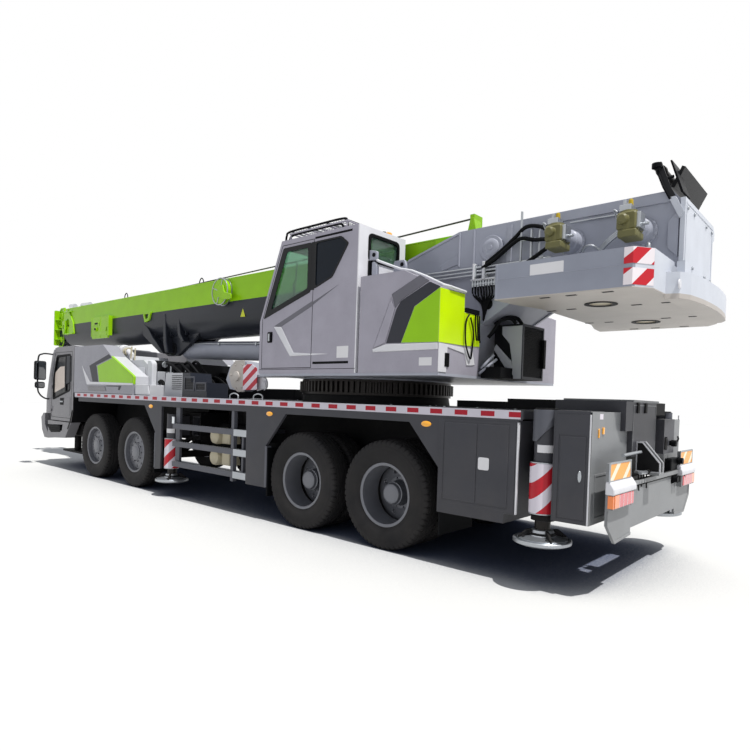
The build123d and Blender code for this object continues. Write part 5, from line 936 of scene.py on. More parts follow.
sun_visor = [(9.42, 2.56), (9.7, 2.44), (9.71, 2.425), (9.68, 2.42), (9.42, 2.53)]
group("sun_visor", "carrier", dark_glass, "glass", slab(sun_visor, -1.05, 1.05, "y", 0.003))
head_lamp = turned([(0, 0.0006), (0, 0.085), (0.02, 0.09), (0.03, 0.08), (0.05, 0.055), (0.055, 0.0006)],
                   (10.035, 1.02, 0.9), "x", 40)
group("head_lamps", "carrier", lens_clear, "steel", head_lamp, moved(head_lamp, (0.008, -0.24, 0)),
      both=True)
group("front_grille", "carrier", black_rubber, "carrier_dark",
      *[box(9.875, 9.902, -0.8, 0.8, z, z + 0.022, 0.004) for z in np.arange(1.2, 1.56, 0.05)])
group("wipers", "carrier", black_rubber, "carrier_dark",
      *[tube([(9.905, y, 1.58), (9.735, y + 0.3, 1.98), (9.69, y + 0.34, 2.09)], 0.01, 8)
        for y in (-0.62, 0.0, 0.58)])
mirror_heads = []
for z0, z1, wide in ((1.86, 2.27, 0.115), (1.68, 1.82, 0.095)):
    face = rounded([(1.565 - wide, z0), (1.565 + wide, z0), (1.565 + wide, z1), (1.565 - wide, z1)], 0.05,
                   6)
    mirror_heads.append(slab(face, 9.575, 9.665, "x", 0.022))
mirror_bar = smooth_path([(9.46, 1.26, 2.4), (9.56, 1.4, 2.43), (9.62, 1.53, 2.42), (9.64, 1.6, 2.31),
                          (9.64, 1.6, 1.72), (9.64, 1.56, 1.56), (9.63, 1.46, 1.47), (9.62, 1.34, 1.45)], 6)
group("mirror_heads", "carrier", black_rubber, "cab_grey", *mirror_heads, both=True,
      replaces=["cab_mirrors"])
group("mirror_bars", "carrier", chassis_black, "cab_grey", tube(mirror_bar, 0.016, 12), both=True)
mirror_glass = finish("mirror_glass", "#8d949c", 0.03, 1.0, grain=40, relief=0.001, tone=0.01)
group("mirror_glasses", "carrier", mirror_glass, "glass",
      *[slab(rounded([(1.565 - w, z0 + 0.02), (1.565 + w, z0 + 0.02), (1.565 + w, z1 - 0.02),
                      (1.565 - w, z1 - 0.02)], 0.04, 6), 9.571, 9.577, "x", 0.002) for z0, z1,
        w in ((1.86, 2.27, 0.097), (1.68, 1.82, 0.077))], both=True)
group("cab_landing_jack", "carrier", chassis_black, "black_steel",
      *[turned([(0, 0.0006), (0, 0.07), (0.34, 0.07), (0.34, 0.0006)], (x, 0.95, 0.36), "z", 32)
        for x in (8.72, 9.1)], slab(rounded([(8.2, 0.7), (9.55, 0.7), (9.55, 1.1), (8.2, 1.1)], 0.05), 0.32,
                                    0.365, "z", 0.01))
group("cab_underside", "carrier", chassis_black, "black_steel",
      boxes([(8.55, 9.35, 0.6, 1.1, 0.69, 0.96), (8.2, 8.5, 0.55, 1.0, 0.72, 1.05)], 0.02))

# Superstructure
# Black glass edge printed on the panes, and satin black tube.
black_edge = finish("black_glass_edge", "#0d0f13", 0.08, grain=40, relief=0.002, tone=0.02)
satin_black = finish("satin_black", "#0e0f12", 0.4, grain=4, relief=0.05, gloss=0.06)
# Painted shade: a darker grey that stands for the shadow in a crease pressed into the door's sheet.
crease_painted_shade = finish("crease_painted_shade", "#65646c", 0.3, grain=9, relief=0.05, coat=0.1)
# White powder coat on the brackets and rails.
powder_white = finish("powder_white", "#d6d7da", 0.4, grain=4, relief=0.05, edge=0.2)

# Operator's cab: glass edges, shut lines, creases, handle, label and roof guard
FACE_Y = 1.4
front_glass = [(1.262, 2.978), (2.172, 2.695), (1.8, 3.592), (1.262, 3.592)]
front_clear = [(1.325, 3.028), (2.02, 2.812), (1.725, 3.535), (1.325, 3.535)]
quarter_glass = [(1.198, 3.008), (1.198, 3.592), (0.752, 3.592), (0.622, 3.492), (0.882, 3.118)]
group("cab_glass_edges", "turntable", black_edge, "glass",
      hoop(rounded(front_glass, 0.03), rounded(front_clear, 0.03), FACE_Y - 0.004, FACE_Y + 0.004),
      hoop(rounded(quarter_glass, 0.03), rounded(inset(quarter_glass, 0.022), 0.03), FACE_Y - 0.004,
           FACE_Y + 0.004), box(1.198, 1.262, FACE_Y - 0.004, FACE_Y + 0.003, 3.0, 3.592, 0.001))
group("quarter_tint", "turntable", dark_glass, "glass", slab(inset(quarter_glass, 0.012), FACE_Y - 0.014,
         FACE_Y - 0.006, "y", 0.001))
door_line = [(1.223, 2.043), (2.192, 2.043), (2.192, 2.69), (1.816, 3.623), (1.223, 3.623)]
group("cab_shut_lines", "turntable", black_rubber, "carrier_dark",
      hoop(inset(door_line, -0.007), door_line, FACE_Y - 0.003, FACE_Y + 0.0012),
      box(0.575, 1.205, FACE_Y - 0.003, FACE_Y + 0.002, 3.622, 3.648, 0.001),
      box(0.58, 1.19, FACE_Y - 0.003, FACE_Y + 0.0015, 2.082, 2.112, 0.001),
      box(0.47, 2.245, FACE_Y - 0.003, FACE_Y + 0.001, 2.02, 2.026, 0.0005))
# The crease in the cab's side: a pale strip below is a painted highlight where the crease catches light,
# and a darker band above is painted shade.
group("cab_crease_painted_highlight", "turntable", enamel_pale, "cab_grey",
      slab([(1.955, 2.585), (1.8, 2.575), (1.545, 2.235), (1.23, 2.215), (1.225, 2.193), (1.615, 2.19)],
           FACE_Y - 0.002, FACE_Y + 0.007, "y", 0.006),
      slab([(1.218, 2.213), (0.91, 2.203), (1.218, 2.193)], FACE_Y - 0.002, FACE_Y + 0.004, "y", 0.003))
group("cab_crease_painted_shade", "turntable", crease_painted_shade, "cab_grey",
      slab([(1.955, 2.592), (1.8, 2.58), (1.23, 2.8), (1.23, 2.862)], FACE_Y - 0.002, FACE_Y + 0.004, "y",
           0.003), slab([(1.217, 2.852), (0.775, 3.02), (1.217, 2.812)], FACE_Y - 0.002, FACE_Y + 0.003,
                        "y", 0.002))
group("cab_grip", "turntable", satin_black, "carrier_dark",
      slab(rounded([(1.978, 2.378), (2.082, 2.378), (2.082, 2.522), (1.978, 2.522)], 0.02), FACE_Y - 0.001,
           FACE_Y + 0.006, "y", 0.003),
      slab(rounded([(1.99, 2.39), (2.02, 2.39), (2.02, 2.51), (1.99, 2.51)], 0.01), FACE_Y + 0.005,
           FACE_Y + 0.024, "y", 0.006))
group("cab_grip_plate", "turntable", zinc_steel, "steel",
      slab(rounded([(2.034, 2.4), (2.066, 2.4), (2.066, 2.5), (2.034, 2.5)], 0.008), FACE_Y + 0.004,
           FACE_Y + 0.009, "y", 0.002))
group("cab_label", "turntable", label_film, "cab_grey",
      slab([(0.585, 2.15), (0.775, 2.15), (0.775, 2.288), (0.585, 2.288)], FACE_Y - 0.0005, FACE_Y + 0.001,
           "y", 0.0004))
group("cab_screen_seal", "turntable", black_rubber, "carrier_dark",
      *[tube([(2.243, y, 2.69), (1.838, y, 3.655)], 0.016, 10) for y in (0.575, 1.365)],
      tube([(2.247, 0.575, 2.68), (2.247, 1.365, 2.68)], 0.016, 10),
      hoop(rounded([(0.595, 2.19), (1.34, 2.19), (1.34, 2.61), (0.595, 2.61)], 0.05),
           rounded([(0.615, 2.21), (1.32, 2.21), (1.32, 2.59), (0.615, 2.59)], 0.04), 2.244, 2.256, "x"))
group("screen_wiper", "turntable", satin_black, "carrier_dark",
      tube([(2.262, 0.8, 2.72), (2.03, 1.02, 3.24)], 0.009, 8),
      tube([(2.12, 0.93, 3.02), (1.93, 1.05, 3.5)], 0.007, 8),
      box(2.246, 2.285, 0.76, 0.84, 2.67, 2.74, 0.01))
rear_pane = [(0.69, 3.31), (1.22, 3.31), (1.22, 3.6), (0.69, 3.6)]
group("rear_window_seal", "turntable", black_rubber, "carrier_dark",
      hoop(rounded(inset(rear_pane, -0.022), 0.075, 6), rounded(inset(rear_pane, 0.016), 0.055, 6), 0.455,
           0.472, "x"))
guard_rails = []
for y in (0.62, 1.335):
    for low, back, fore in ((3.8, 0.735, 1.825), (3.745, 0.8, 1.76)):
        guard_rails.append(tube(smooth_path([(back - 0.02, y, 3.69), (back - 0.005, y, low - 0.02),
                                             (back + 0.07, y, low + 0.02), (1.28, y, low + 0.022),
                                             (fore - 0.07, y, low + 0.015), (fore, y, low - 0.03),
                                             (fore + 0.01, y, 3.69)], 6), 0.014, 10))
guard_rails += [tube([(x, 0.62, 3.822), (x, 1.335, 3.822)], 0.011, 10) for x in (0.8, 1.1, 1.45, 1.76)]
group("roof_guard_rails", "turntable", satin_black, "carrier_dark", *guard_rails)
group("roof_guard_mesh", "turntable", zinc_steel, "steel",
      *[tube([(x, 0.63, 3.806), (x, 1.325, 3.806)], 0.004, 6) for x in np.arange(0.84, 1.75, 0.045)],
      *[tube([(0.8, y, 3.812), (1.76, y, 3.812)], 0.004, 6) for y in np.arange(0.68, 1.3, 0.075)])
group("roof_beacon", "turntable", lens_amber, "steel",
      turned([(0, 0.0006), (0, 0.05), (0.02, 0.052), (0.07, 0.045), (0.085, 0.025), (0.088, 0.0006)],
             (0.62, 0.7, 3.69), "z", 32))
group("work_lamp", "turntable", satin_black, "carrier_dark",
      turned([(0, 0.0006), (0, 0.075), (0.045, 0.07), (0.07, 0.03), (0.072, 0.0006)], (1.8, 0.5, 3.62), "x",
             32), box(1.78, 1.81, 0.49, 0.55, 3.55, 3.63, 0.004))

# Brackets and rails behind the cab
brackets = [slab(rounded([(0.464, 3.42), (0.345, 3.395), (0.345, 3.305), (0.464, 3.29)], 0.02), 1.185,
                 1.225, "y", 0.004),
            slab(rounded([(0.415, 3.275), (0.375, 3.275), (0.335, 3.22), (0.335, 3.072), (0.415, 3.072)],
                         0.02), 1.185, 1.225, "y", 0.004),
            slab(rounded([(0.285, 3.31), (0.125, 3.315), (0.1, 3.24), (0.12, 3.072), (0.285, 3.072)], 0.02),
                 0.945, 0.985, "y", 0.004)]
group("cab_brackets", "turntable", enamel_plate_grey, "plate_grey", *brackets)
group("cab_bracket_pins", "turntable", satin_black, "black_steel",
      *[turned([(-0.012, 0.0006), (-0.012, 0.024), (0.052, 0.024), (0.052, 0.0006)], spot, "y", 24)
        for spot in ((0.385, 1.18, 3.352), (0.155, 0.94, 3.26))],
      box(0.43, 0.464, 1.17, 1.24, 3.072, 3.29, 0.004))
rail = [(0.345, 1.205, 3.285), (0.01, 1.19, 3.15), (-0.215, 1.27, 3.088), (-0.43, 1.29, 2.998),
        (-0.66, 1.3, 2.886), (-0.704, 1.22, 2.872), (-0.706, 0.94, 2.862)]
group("fairing_rail", "turntable", powder_white, "cab_grey", tube(rail, 0.015, 12),
      tube([(0.345, 1.205, 3.285), (0.345, 1.205, 3.3)], 0.02, 12))

SIDE_LEVEL = 0.52
# Turntable fairings: lime panels, dark stripes, pale ledge and the rear face
fair_lime = [(-0.69, 2.838), (-0.372, 2.668), (-0.205, 2.292), (-0.69, 2.282)]
fair_stripe = [(-0.56, 2.912), (-0.69, 2.852), (-0.69, 2.842), (-0.368, 2.672), (-0.198, 2.29),
               (0.008, 2.294), (-0.122, 2.66), (-0.18, 2.742)]
fair_wedge = [(-0.052, 2.828), (-0.43, 2.995), (-0.556, 2.922), (-0.178, 2.746), (-0.108, 2.672)]
fair_bevel = [(-0.045, 2.79), (-0.104, 2.662), (0.018, 2.3), (0.198, 2.236)]
fair_ledge = [(0.205, 2.236), (0.01, 2.284), (-0.69, 2.276), (-0.69, 2.205), (0.195, 2.2)]
group("fairing_lime", "turntable", enamel_lime, "lime", slab(fair_lime, FACE_Y - 0.001, FACE_Y + 0.004, "y",
         0.001))
group("fairing_stripes", "turntable", vinyl_dark, "carrier_dark",
      slab(fair_stripe, FACE_Y - 0.001, FACE_Y + 0.003, "y", 0.001))
# The fairing's wedges are laid in the darker grey of the painted shade.
group("fairing_wedges", "turntable", crease_painted_shade, "cab_grey",
      slab(fair_wedge, FACE_Y - 0.001, FACE_Y + 0.005, "y", 0.004))
group("fairing_bevels", "turntable", enamel_cab_grey, "cab_grey",
      slab(fair_bevel, FACE_Y - 0.001, FACE_Y + 0.01, "y", 0.009))
group("fairing_ledges", "turntable", enamel_pale, "cab_grey",
      slab(fair_ledge, FACE_Y - 0.001, FACE_Y + 0.012, "y", 0.009))
group("fairing_label", "turntable", label_film, "cab_grey",
      slab([(-0.615, 2.042), (-0.45, 2.042), (-0.45, 2.128), (-0.615, 2.128)], FACE_Y - 0.0005,
           FACE_Y + 0.001, "y", 0.0004))
group("right_fairing_panel", "turntable", enamel_lime, "lime",
      mirrored(slab(rounded([(0.36, 2.9), (-0.12, 2.9), (-0.3, 2.8), (-0.3, 2.3), (0.24, 2.3)], 0.02),
                    FACE_Y - 0.001, FACE_Y + 0.004, "y", 0.001)))
group("right_fairing_ledge", "turntable", enamel_pale, "cab_grey",
      mirrored(slab([(0.4, 2.27), (-0.32, 2.27), (-0.32, 2.2), (0.4, 2.2)], FACE_Y - 0.001, FACE_Y + 0.012,
                    "y", 0.009)))
TAIL_FACE = -0.69
# The tail-facing lime panels take the paler copy of the lime, as painted sunlight.
group("fairing_tail_lime", "turntable", lime_painted_sunlit, "lime",
      slab([(0.935, 2.285), (1.398, 2.282), (1.398, 2.838), (0.935, 2.842)], TAIL_FACE - 0.004,
           TAIL_FACE + 0.001, "x", 0.001),
      slab([(0.604, 2.3), (0.93, 2.285), (0.93, 2.645), (0.604, 2.645)], TAIL_FACE - 0.004,
           TAIL_FACE + 0.001, "x", 0.001))
tail_band = [(1.399, 2.276), (0.9, 2.262), (0.75, 2.262), (0.69, 2.092), (0.74, 2.08), (0.86, 2.072),
             (0.91, 2.198), (1.235, 2.24), (1.25, 1.975), (1.399, 1.975)]
group("fairing_tail_band", "turntable", enamel_pale, "cab_grey",
      slab(tail_band, TAIL_FACE - 0.007, TAIL_FACE + 0.001, "x", 0.004))
group("fairing_vent", "turntable", satin_black, "carrier_dark",
      slab(rounded([(1.205, 2.035), (1.288, 2.035), (1.288, 2.18), (1.205, 2.18)], 0.01), TAIL_FACE - 0.012,
           TAIL_FACE - 0.004, "x", 0.002),
      *[box(TAIL_FACE - 0.018, TAIL_FACE - 0.01, 1.212, 1.281, z, z + 0.008, 0.001)
        for z in np.arange(2.05, 2.17, 0.02)])
drains = [[(0.87, 2.63), (0.93, 2.54), (0.925, 2.32), (0.82, 2.15), (0.785, 2.28), (0.775, 2.45),
           (0.84, 2.6)], [(0.74, 2.64), (0.735, 2.5), (0.7, 2.36)],
          [(0.7, 2.64), (0.69, 2.52), (0.665, 2.36)], [(0.66, 2.64), (0.655, 2.5), (0.63, 2.34)]]
group("drain_hoses", "turntable", black_rubber, "carrier_dark",
      *[tube(smooth_path([(TAIL_FACE - 0.025, y, z) for y, z in line], 6), 0.009, 8) for line in drains],
      box(-0.7, -0.6, 0.62, 0.92, 2.648, 2.7, 0.015))
group("plate_hole", "turntable", black_rubber, "carrier_dark",
      turned([(0, 0.0006), (0, 0.058), (0.004, 0.062), (0.008, 0.06), (0.008, 0.0006)],
             (-0.735, SIDE_LEVEL, 2.79), "y", 40))

# Side plate: pin boss, ribs, panel, clamps, hoses and pipes
SIDE_PLATE = 0.52
boss = [(0.038, 0.142), (0.044, 0.138), (0.044, 0.104), (0.052, 0.1), (0.062, 0.082), (0.062, 0.052),
        (0.055, 0.048), (0.055, 0.03), (0.066, 0.026), (0.066, 0.0006), (0.038, 0.0006)]
group("boom_pin_bosses", "turntable", enamel_plate_grey, "plate_grey",
      turned(boss, (-0.77, SIDE_PLATE, 3.41), "y", 56), both=True)
ribs = [box(-0.342, -0.322, SIDE_PLATE - 0.002, SIDE_PLATE + 0.022, 3.255, 3.655, 0.003),
        box(-0.54, -0.52, SIDE_PLATE - 0.002, SIDE_PLATE + 0.022, 3.27, 3.655, 0.003),
        slab([(-0.065, 3.3), (-0.318, 3.41), (-0.322, 3.285), (-0.09, 3.235)], SIDE_PLATE - 0.001,
             SIDE_PLATE + 0.014, "y", 0.004), slab([(0.43, 3.425), (-0.31, 3.652), (-0.31, 3.632),
            (0.43, 3.402)], SIDE_PLATE - 0.001, SIDE_PLATE + 0.012, "y", 0.003),
        slab([(0.43, 3.425), (0.89, 3.0), (0.87, 2.985), (0.41, 3.41)], SIDE_PLATE - 0.001,
             SIDE_PLATE + 0.012, "y", 0.003)]
group("plate_ribs", "turntable", enamel_plate_grey, "plate_grey", *ribs, both=True)
thick_hoses = [[(-1.52, 0.7, 3.43), (-1.4, 0.64, 3.52), (-1.22, 0.61, 3.555), (-1.08, 0.6, 3.46),
                (-0.93, 0.6, 3.35), (-0.71, 0.6, 3.215)], [(-1.5, 0.72, 3.36), (-1.32, 0.63, 3.4),
         (-1.16, 0.61, 3.44), (-1.02, 0.61, 3.37), (-0.88, 0.61, 3.275), (-0.7, 0.61, 3.185)],
               [(-0.72, 0.575, 3.15), (-0.95, 0.58, 3.12), (-1.1, 0.62, 3.1), (-1.28, 0.66, 3.17),
                (-1.5, 0.72, 3.26)]]
group("winch_hoses", "turntable", black_rubber, "carrier_dark",
      *[tube(smooth_path(line, 8), 0.021, 14) for line in thick_hoses])
fan = [[(-2.0, 0.64, 3.14 + 0.02 * k), (-2.1, 0.68, 3.22 + 0.02 * k), (-2.21, 0.71, 3.285 + 0.02 * k),
        (-2.3, 0.74, 3.32 + 0.02 * k)] for k in range(3)]
group("winch_pipes", "turntable", zinc_steel, "steel",
      *[tube(smooth_path(line, 6), 0.011, 10) for line in fan],
      tube(smooth_path([(-1.68, 0.56, 3.53), (-1.9, 0.545, 3.535), (-2.2, 0.545, 3.535),
                        (-2.235, 0.545, 3.56), (-2.235, 0.545, 3.625)], 5), 0.01, 10),
      tube([(-1.16, 0.6, 3.2), (-1.16, 0.6, 3.73)], 0.013, 10),
      tube([(-1.28, 0.6, 3.2), (-1.28, 0.6, 3.52)], 0.016, 10),
      tube([(-1.37, 0.6, 3.24), (-1.37, 0.6, 3.51)], 0.011, 10),
      tube([(-1.16, 0.6, 3.42), (-1.37, 0.6, 3.42)], 0.01, 10),
      tube(smooth_path([(-1.86, 0.62, 3.1), (-1.88, 0.7, 3.2), (-1.97, 0.72, 3.225), (-2.04, 0.64, 3.16)],
                       6), 0.012, 10))
fitting = [(0, 0.0006), (0, 0.016), (0.018, 0.016), (0.018, 0.021), (0.042, 0.021), (0.042, 0.012),
           (0.075, 0.012), (0.075, 0.0006)]
spots = [(-0.56 - 0.035 * k, 0.575, 2.985 + 0.004 * (k % 2)) for k in range(9)]
group("pipe_fittings", "turntable", zinc_steel, "steel",
      *[turned(fitting, spot, "z", 16) for spot in spots], *[turned(fitting, (x, y, 3.0), "z", 16) for x,
         y in ((-1.9, 0.6), (-1.96, 0.62), (-2.02, 0.6))])
group("pipe_clamp", "turntable", powder_white, "steel", box(-0.735, -0.7, 0.515, 0.625, 3.06, 3.255, 0.006),
      box(-0.6, -0.575, 0.515, 0.625, 3.06, 3.245, 0.006),
      box(-0.86, -0.54, 0.52, 0.6, 3.055, 3.075, 0.004))
group("hose_ends", "turntable", black_rubber, "carrier_dark",
      *[tube(smooth_path([(-0.56 - 0.035 * k, 0.575, 2.99), (-0.57 - 0.035 * k, 0.57, 2.9 - 0.01 * (k % 3)),
                          (-0.66 - 0.012 * k, 0.545, 2.8), (-0.69, 0.535, 2.7 - 0.012 * k)], 5), 0.01, 8)
        for k in range(9)])

# Winch drives: gear cases with bolts, motors with valve blocks and caps
case_profile = [(0, 0.0006), (0, 0.14), (0.02, 0.14), (0.03, 0.118), (0.12, 0.112), (0.135, 0.1),
                (0.205, 0.096), (0.225, 0.085), (0.243, 0.08), (0.243, 0.0006)]
cases, motors, valves, caps = [], [], [], []
for x in (-1.69, -2.37):
    cases.append(turned(case_profile, (x, SIDE_PLATE, 3.33), "y", 56))
    cases.append(bolts([(x + 0.129 * math.cos(t), 3.33 + 0.129 * math.sin(t))
                        for t in np.linspace(0, 6.283, 16, endpoint=False)], 0.009, 0.01, "y",
                       SIDE_PLATE + 0.02))
    motors.append(turned([(-0.13, 0.0006), (-0.13, 0.07), (-0.12, 0.085), (-0.02, 0.092), (0.05, 0.09),
                          (0.07, 0.078), (0.11, 0.07), (0.115, 0.05), (0.115, 0.0006)], (x, 0.9, 3.32), "z",
                         40))
    motors.append(slab(rounded([(x - 0.085, 3.25), (x + 0.085, 3.25), (x + 0.085, 3.41), (x - 0.085, 3.41)],
                               0.03), 0.755, 0.985, "y", 0.012))
    motors.append(slab(rounded([(x - 0.1, 3.175), (x + 0.06, 3.175), (x + 0.06, 3.24), (x - 0.1, 3.24)],
                               0.015), 0.8, 1.02, "y", 0.008))
    motors.append(turned([(0, 0.0006), (0, 0.05), (0.045, 0.046), (0.06, 0.03), (0.06, 0.0006)],
                         (x + 0.02, 0.985, 3.34), "y", 28))
    valves.append(boxes([(x - 0.03, x + 0.075, 0.83, 0.95, 3.425, 3.485),
                         (x - 0.115, x - 0.07, 0.82, 0.96, 3.26, 3.4)], 0.006))
    valves.append(turned([(0, 0.0006), (0, 0.016), (0.07, 0.016), (0.07, 0.0006)], (x + 0.055, 0.86, 3.48),
                         "z", 16))
    valves.append(turned([(-0.05, 0.0006), (-0.05, 0.014), (0.05, 0.014), (0.05, 0.0006)],
                         (x - 0.12, 0.9, 3.3), "x", 16))
    valves.append(tube(smooth_path([(x + 0.09, 0.93, 3.43), (x + 0.13, 0.92, 3.46), (x + 0.12, 0.88, 3.4),
                                    (x + 0.1, 0.86, 3.34)], 5), 0.008, 8))
    caps.append(turned([(0, 0.0006), (0, 0.02), (0.02, 0.022), (0.06, 0.02), (0.07, 0.01), (0.072, 0.0006)],
                       (x - 0.01, 0.9, 3.47), "z", 20))
group("winch_cases", "turntable", enamel_plate_grey, "black_steel", *cases, replaces=["winch_drives"])
group("winch_motors", "turntable", motor_olive, "black_steel", *motors)
group("winch_valves", "turntable", zinc_steel, "steel", *valves)
# Yellow plastic caps on the motors' ports.
plastic_yellow = finish("plastic_yellow", "#b49a2c", 0.45, grain=3, relief=0.05)
group("motor_caps", "turntable", plastic_yellow, "steel", *caps)

# Oil cooler behind the base: fins, frame, side plates, struts and hoses
COOLER_X = -1.05
group("cooler_fins", "turntable", satin_black, "carrier_dark",
      *[box(COOLER_X - 0.01, COOLER_X + 0.002, -0.22, 0.25, z, z + 0.006, 0.001)
        for z in np.arange(2.02, 2.53, 0.016)], *[box(-1.04, -0.86, 0.278, 0.284, z, z + 0.004, 0.001)
         for z in np.arange(2.42, 2.53, 0.022)])
group("cooler_frame", "turntable", enamel_charcoal, "carrier_dark",
      hoop([(-0.252, 1.955), (0.282, 1.955), (0.282, 2.582), (-0.252, 2.582)],
           [(-0.226, 1.985), (0.256, 1.985), (0.256, 2.555), (-0.226, 2.555)], COOLER_X - 0.014, COOLER_X,
           "x"))
group("cooler_side", "turntable", enamel_covers_grey, "plate_grey",
      slab([(-1.052, 1.957), (-0.96, 1.957), (-0.93, 2.2), (-0.9, 2.36), (-0.8, 2.47), (-0.8, 2.56),
            (-1.052, 2.56)], 0.279, 0.292, "y", 0.004),
      slab([(-0.96, 2.0), (-0.9, 2.02), (-0.7, 2.3), (-0.73, 2.36), (-0.93, 2.16)], 0.282, 0.296, "y",
           0.004))
group("cooler_struts", "turntable", enamel_plate_grey, "plate_grey",
      tube([(-0.8, 0.46, 2.22), (-0.7, 0.56, 2.06)], 0.016, 10),
      tube([(-0.84, 0.46, 2.17), (-0.7, 0.6, 2.0)], 0.016, 10))
group("cooler_hoses", "turntable", black_rubber, "carrier_dark",
      tube(smooth_path([(-0.98, 0.3, 2.58), (-0.93, 0.34, 2.64), (-0.84, 0.4, 2.61), (-0.78, 0.44, 2.5),
                        (-0.72, 0.46, 2.42)], 7), 0.022, 12),
      tube(smooth_path([(-0.96, 0.1, 2.58), (-0.92, 0.16, 2.66), (-0.84, 0.26, 2.66), (-0.74, 0.36, 2.58)],
                       7), 0.022, 12))

# Counterweight: edges, hazard boards, label, weld lines, lifting eyes and bolts
CW_Y = 1.378
def wrap(low, high, start):
    """A thin board that lies along the side and folds round the chamfer at the tail."""
    chamfer = np.array([-0.5767, -0.817])
    corner = np.array([-2.57, CW_Y])
    end = corner + 0.203 * chamfer
    out = np.array([-0.817, 0.5767]) * 0.0035
    return slab([(start, CW_Y - 0.001), (start, CW_Y + 0.0035), (corner[0] - 0.0019, CW_Y + 0.0035),
                 tuple(end + out), tuple(end), (corner[0], CW_Y - 0.001)], low, high, "z", 0.0006)


group("weight_boards", "turntable", foil_weight, "weight_grey", wrap(2.678, 2.816, -2.5),
      wrap(2.852, 2.986, -2.5), both=True)
group("weight_label", "turntable", label_film, "weight_grey",
      slab(rounded([(-1.665, 2.845), (-1.985, 2.845), (-1.985, 2.948), (-1.665, 2.948)], 0.008),
           CW_Y - 0.0005, CW_Y + 0.0015, "y", 0.0005))
group("weight_edges", "turntable", enamel_weight, "weight_grey",
      box(-1.335, -1.308, 1.352, CW_Y + 0.003, 2.66, 2.992, 0.004),
      box(-2.52, -1.34, CW_Y - 0.001, CW_Y + 0.0025, 2.842, 2.85, 0.001), both=True)
group("weight_discs", "turntable", enamel_pale, "weight_grey",
      turned([(-0.012, 0.0006), (-0.012, 0.036), (-0.004, 0.042), (0.0, 0.042), (0.0, 0.0006)],
             (-2.797, 0.87, 2.742), "x", 32), both=True)
eye = tube(smooth_path([(-2.62, 1.14, 2.985), (-2.62, 1.14, 3.04), (-2.6, 1.1, 3.065), (-2.58, 1.06, 3.04),
                        (-2.58, 1.06, 2.985)], 6), 0.012, 10)
group("weight_eyes", "turntable", zinc_steel, "steel", eye, both=True)
group("weight_bolts", "turntable", zinc_steel, "steel",
      bolts([(y, z) for y in (-0.48, -0.24, 0.24, 0.48) for z in (3.0, 3.5)], 0.018, -0.014, "x", -2.745))
for_back = [(0.52, 2.9), (0.52, 3.55), (-0.52, 3.55), (-0.52, 2.9)]
group("weight_back_frame", "turntable", enamel_weight, "weight_grey",
      hoop(for_back, inset(for_back, 0.012), -2.749, -2.744, "x"))
group("hole_rims", "turntable", chassis_black, "black_steel",
      *[turned([(0, 0.106), (0, 0.152), (-0.006, 0.152), (-0.006, 0.106)], (-2.075, y, 2.655), "z", 56,
               True) for y in (0.7, -0.7)],
      *[box(x - 0.048, x + 0.048, side * y - 0.021, side * y + 0.021, 2.6525, 2.657, 0.001)
        for side in (1, -1) for x, y in ((-1.5, 0.52), (-1.72, 0.54), (-1.77, 1.27), (-2.02, 1.27),
                                         (-2.34, 1.27), (-2.34, 0.5), (-2.61, 0.5))])
group("hole_plugs", "turntable", cream_paint, "steel",
      *[turned([(0, 0.0006), (0, 0.109), (0.01, 0.109), (0.01, 0.0006)], (-2.075, y, 2.662), "z", 48)
        for y in (0.7, -0.7)])
group("tail_roller", "turntable", greased_steel, "steel",
      turned([(-0.47, 0.0006), (-0.47, 0.048), (-0.43, 0.05), (-0.42, 0.04), (0.42, 0.04), (0.43, 0.05),
              (0.47, 0.048), (0.47, 0.0006)], (-2.5, 0, 3.9), "y", 32))
panel = rounded([(-2.59, 3.955), (-2.606, 3.958), (-2.712, 3.652), (-2.692, 3.648)], 0.004)
group("tail_mirror", "turntable", satin_black, "black_steel", slab(panel, 0.262, 0.524, "y", 0.003),
      tube([(-2.63, 0.53, 3.8), (-2.57, 0.56, 3.78)], 0.014, 10),
      tube([(-2.5, 0.6, 3.88), (-2.5, 0.6, 3.92)], 0.045, 16),
      tube([(-2.5, 0.585, 3.86), (-2.56, 0.59, 3.7), (-2.62, 0.588, 3.58)], 0.011, 8))

# Hook block: cheek plates, sheave rims, striped board and its lug
HOOK_Y = 1.12
cheek = [(3.33, 1.97), (3.28, 2.09), (3.17, 2.185), (2.94, 2.185), (2.925, 1.72), (3.09, 1.715),
         (3.24, 1.79)]
group("hook_cheeks", "turntable", enamel_weight, "weight_grey",
      slab(cheek, HOOK_Y - 0.001, HOOK_Y + 0.012, "y", 0.005),
      turned([(0, 0.07), (0.012, 0.075), (0.03, 0.07), (0.036, 0.04), (0.04, 0.0006), (0, 0.0006)],
             (3.11, HOOK_Y + 0.01, 1.95), "y", 32),
      bolts([(3.26, 1.97), (3.16, 2.12), (2.99, 2.12), (2.98, 1.78), (3.12, 1.77)], 0.014, 0.012, "y",
            HOOK_Y + 0.012))
board = [(2.95, 2.1), (2.85, 2.125), (2.74, 2.125), (2.63, 2.06), (2.615, 1.755), (2.95, 1.745)]
group("hook_board", "turntable", foil_hook, "plate_grey", slab(board, HOOK_Y + 0.014, HOOK_Y + 0.024, "y",
         0.002))
lug_plate = rounded([(2.7, 1.945), (2.5, 1.93), (2.46, 1.86), (2.47, 1.78), (2.7, 1.735)], 0.03)
group("hook_lug", "turntable", enamel_pale, "cab_grey", slab(lug_plate, 1.06, 1.085, "y", 0.004),
      tube(smooth_path([(2.52, 1.1, 1.88), (2.46, 1.12, 1.84), (2.44, 1.12, 1.78), (2.5, 1.1, 1.755)], 6),
           0.009, 8))

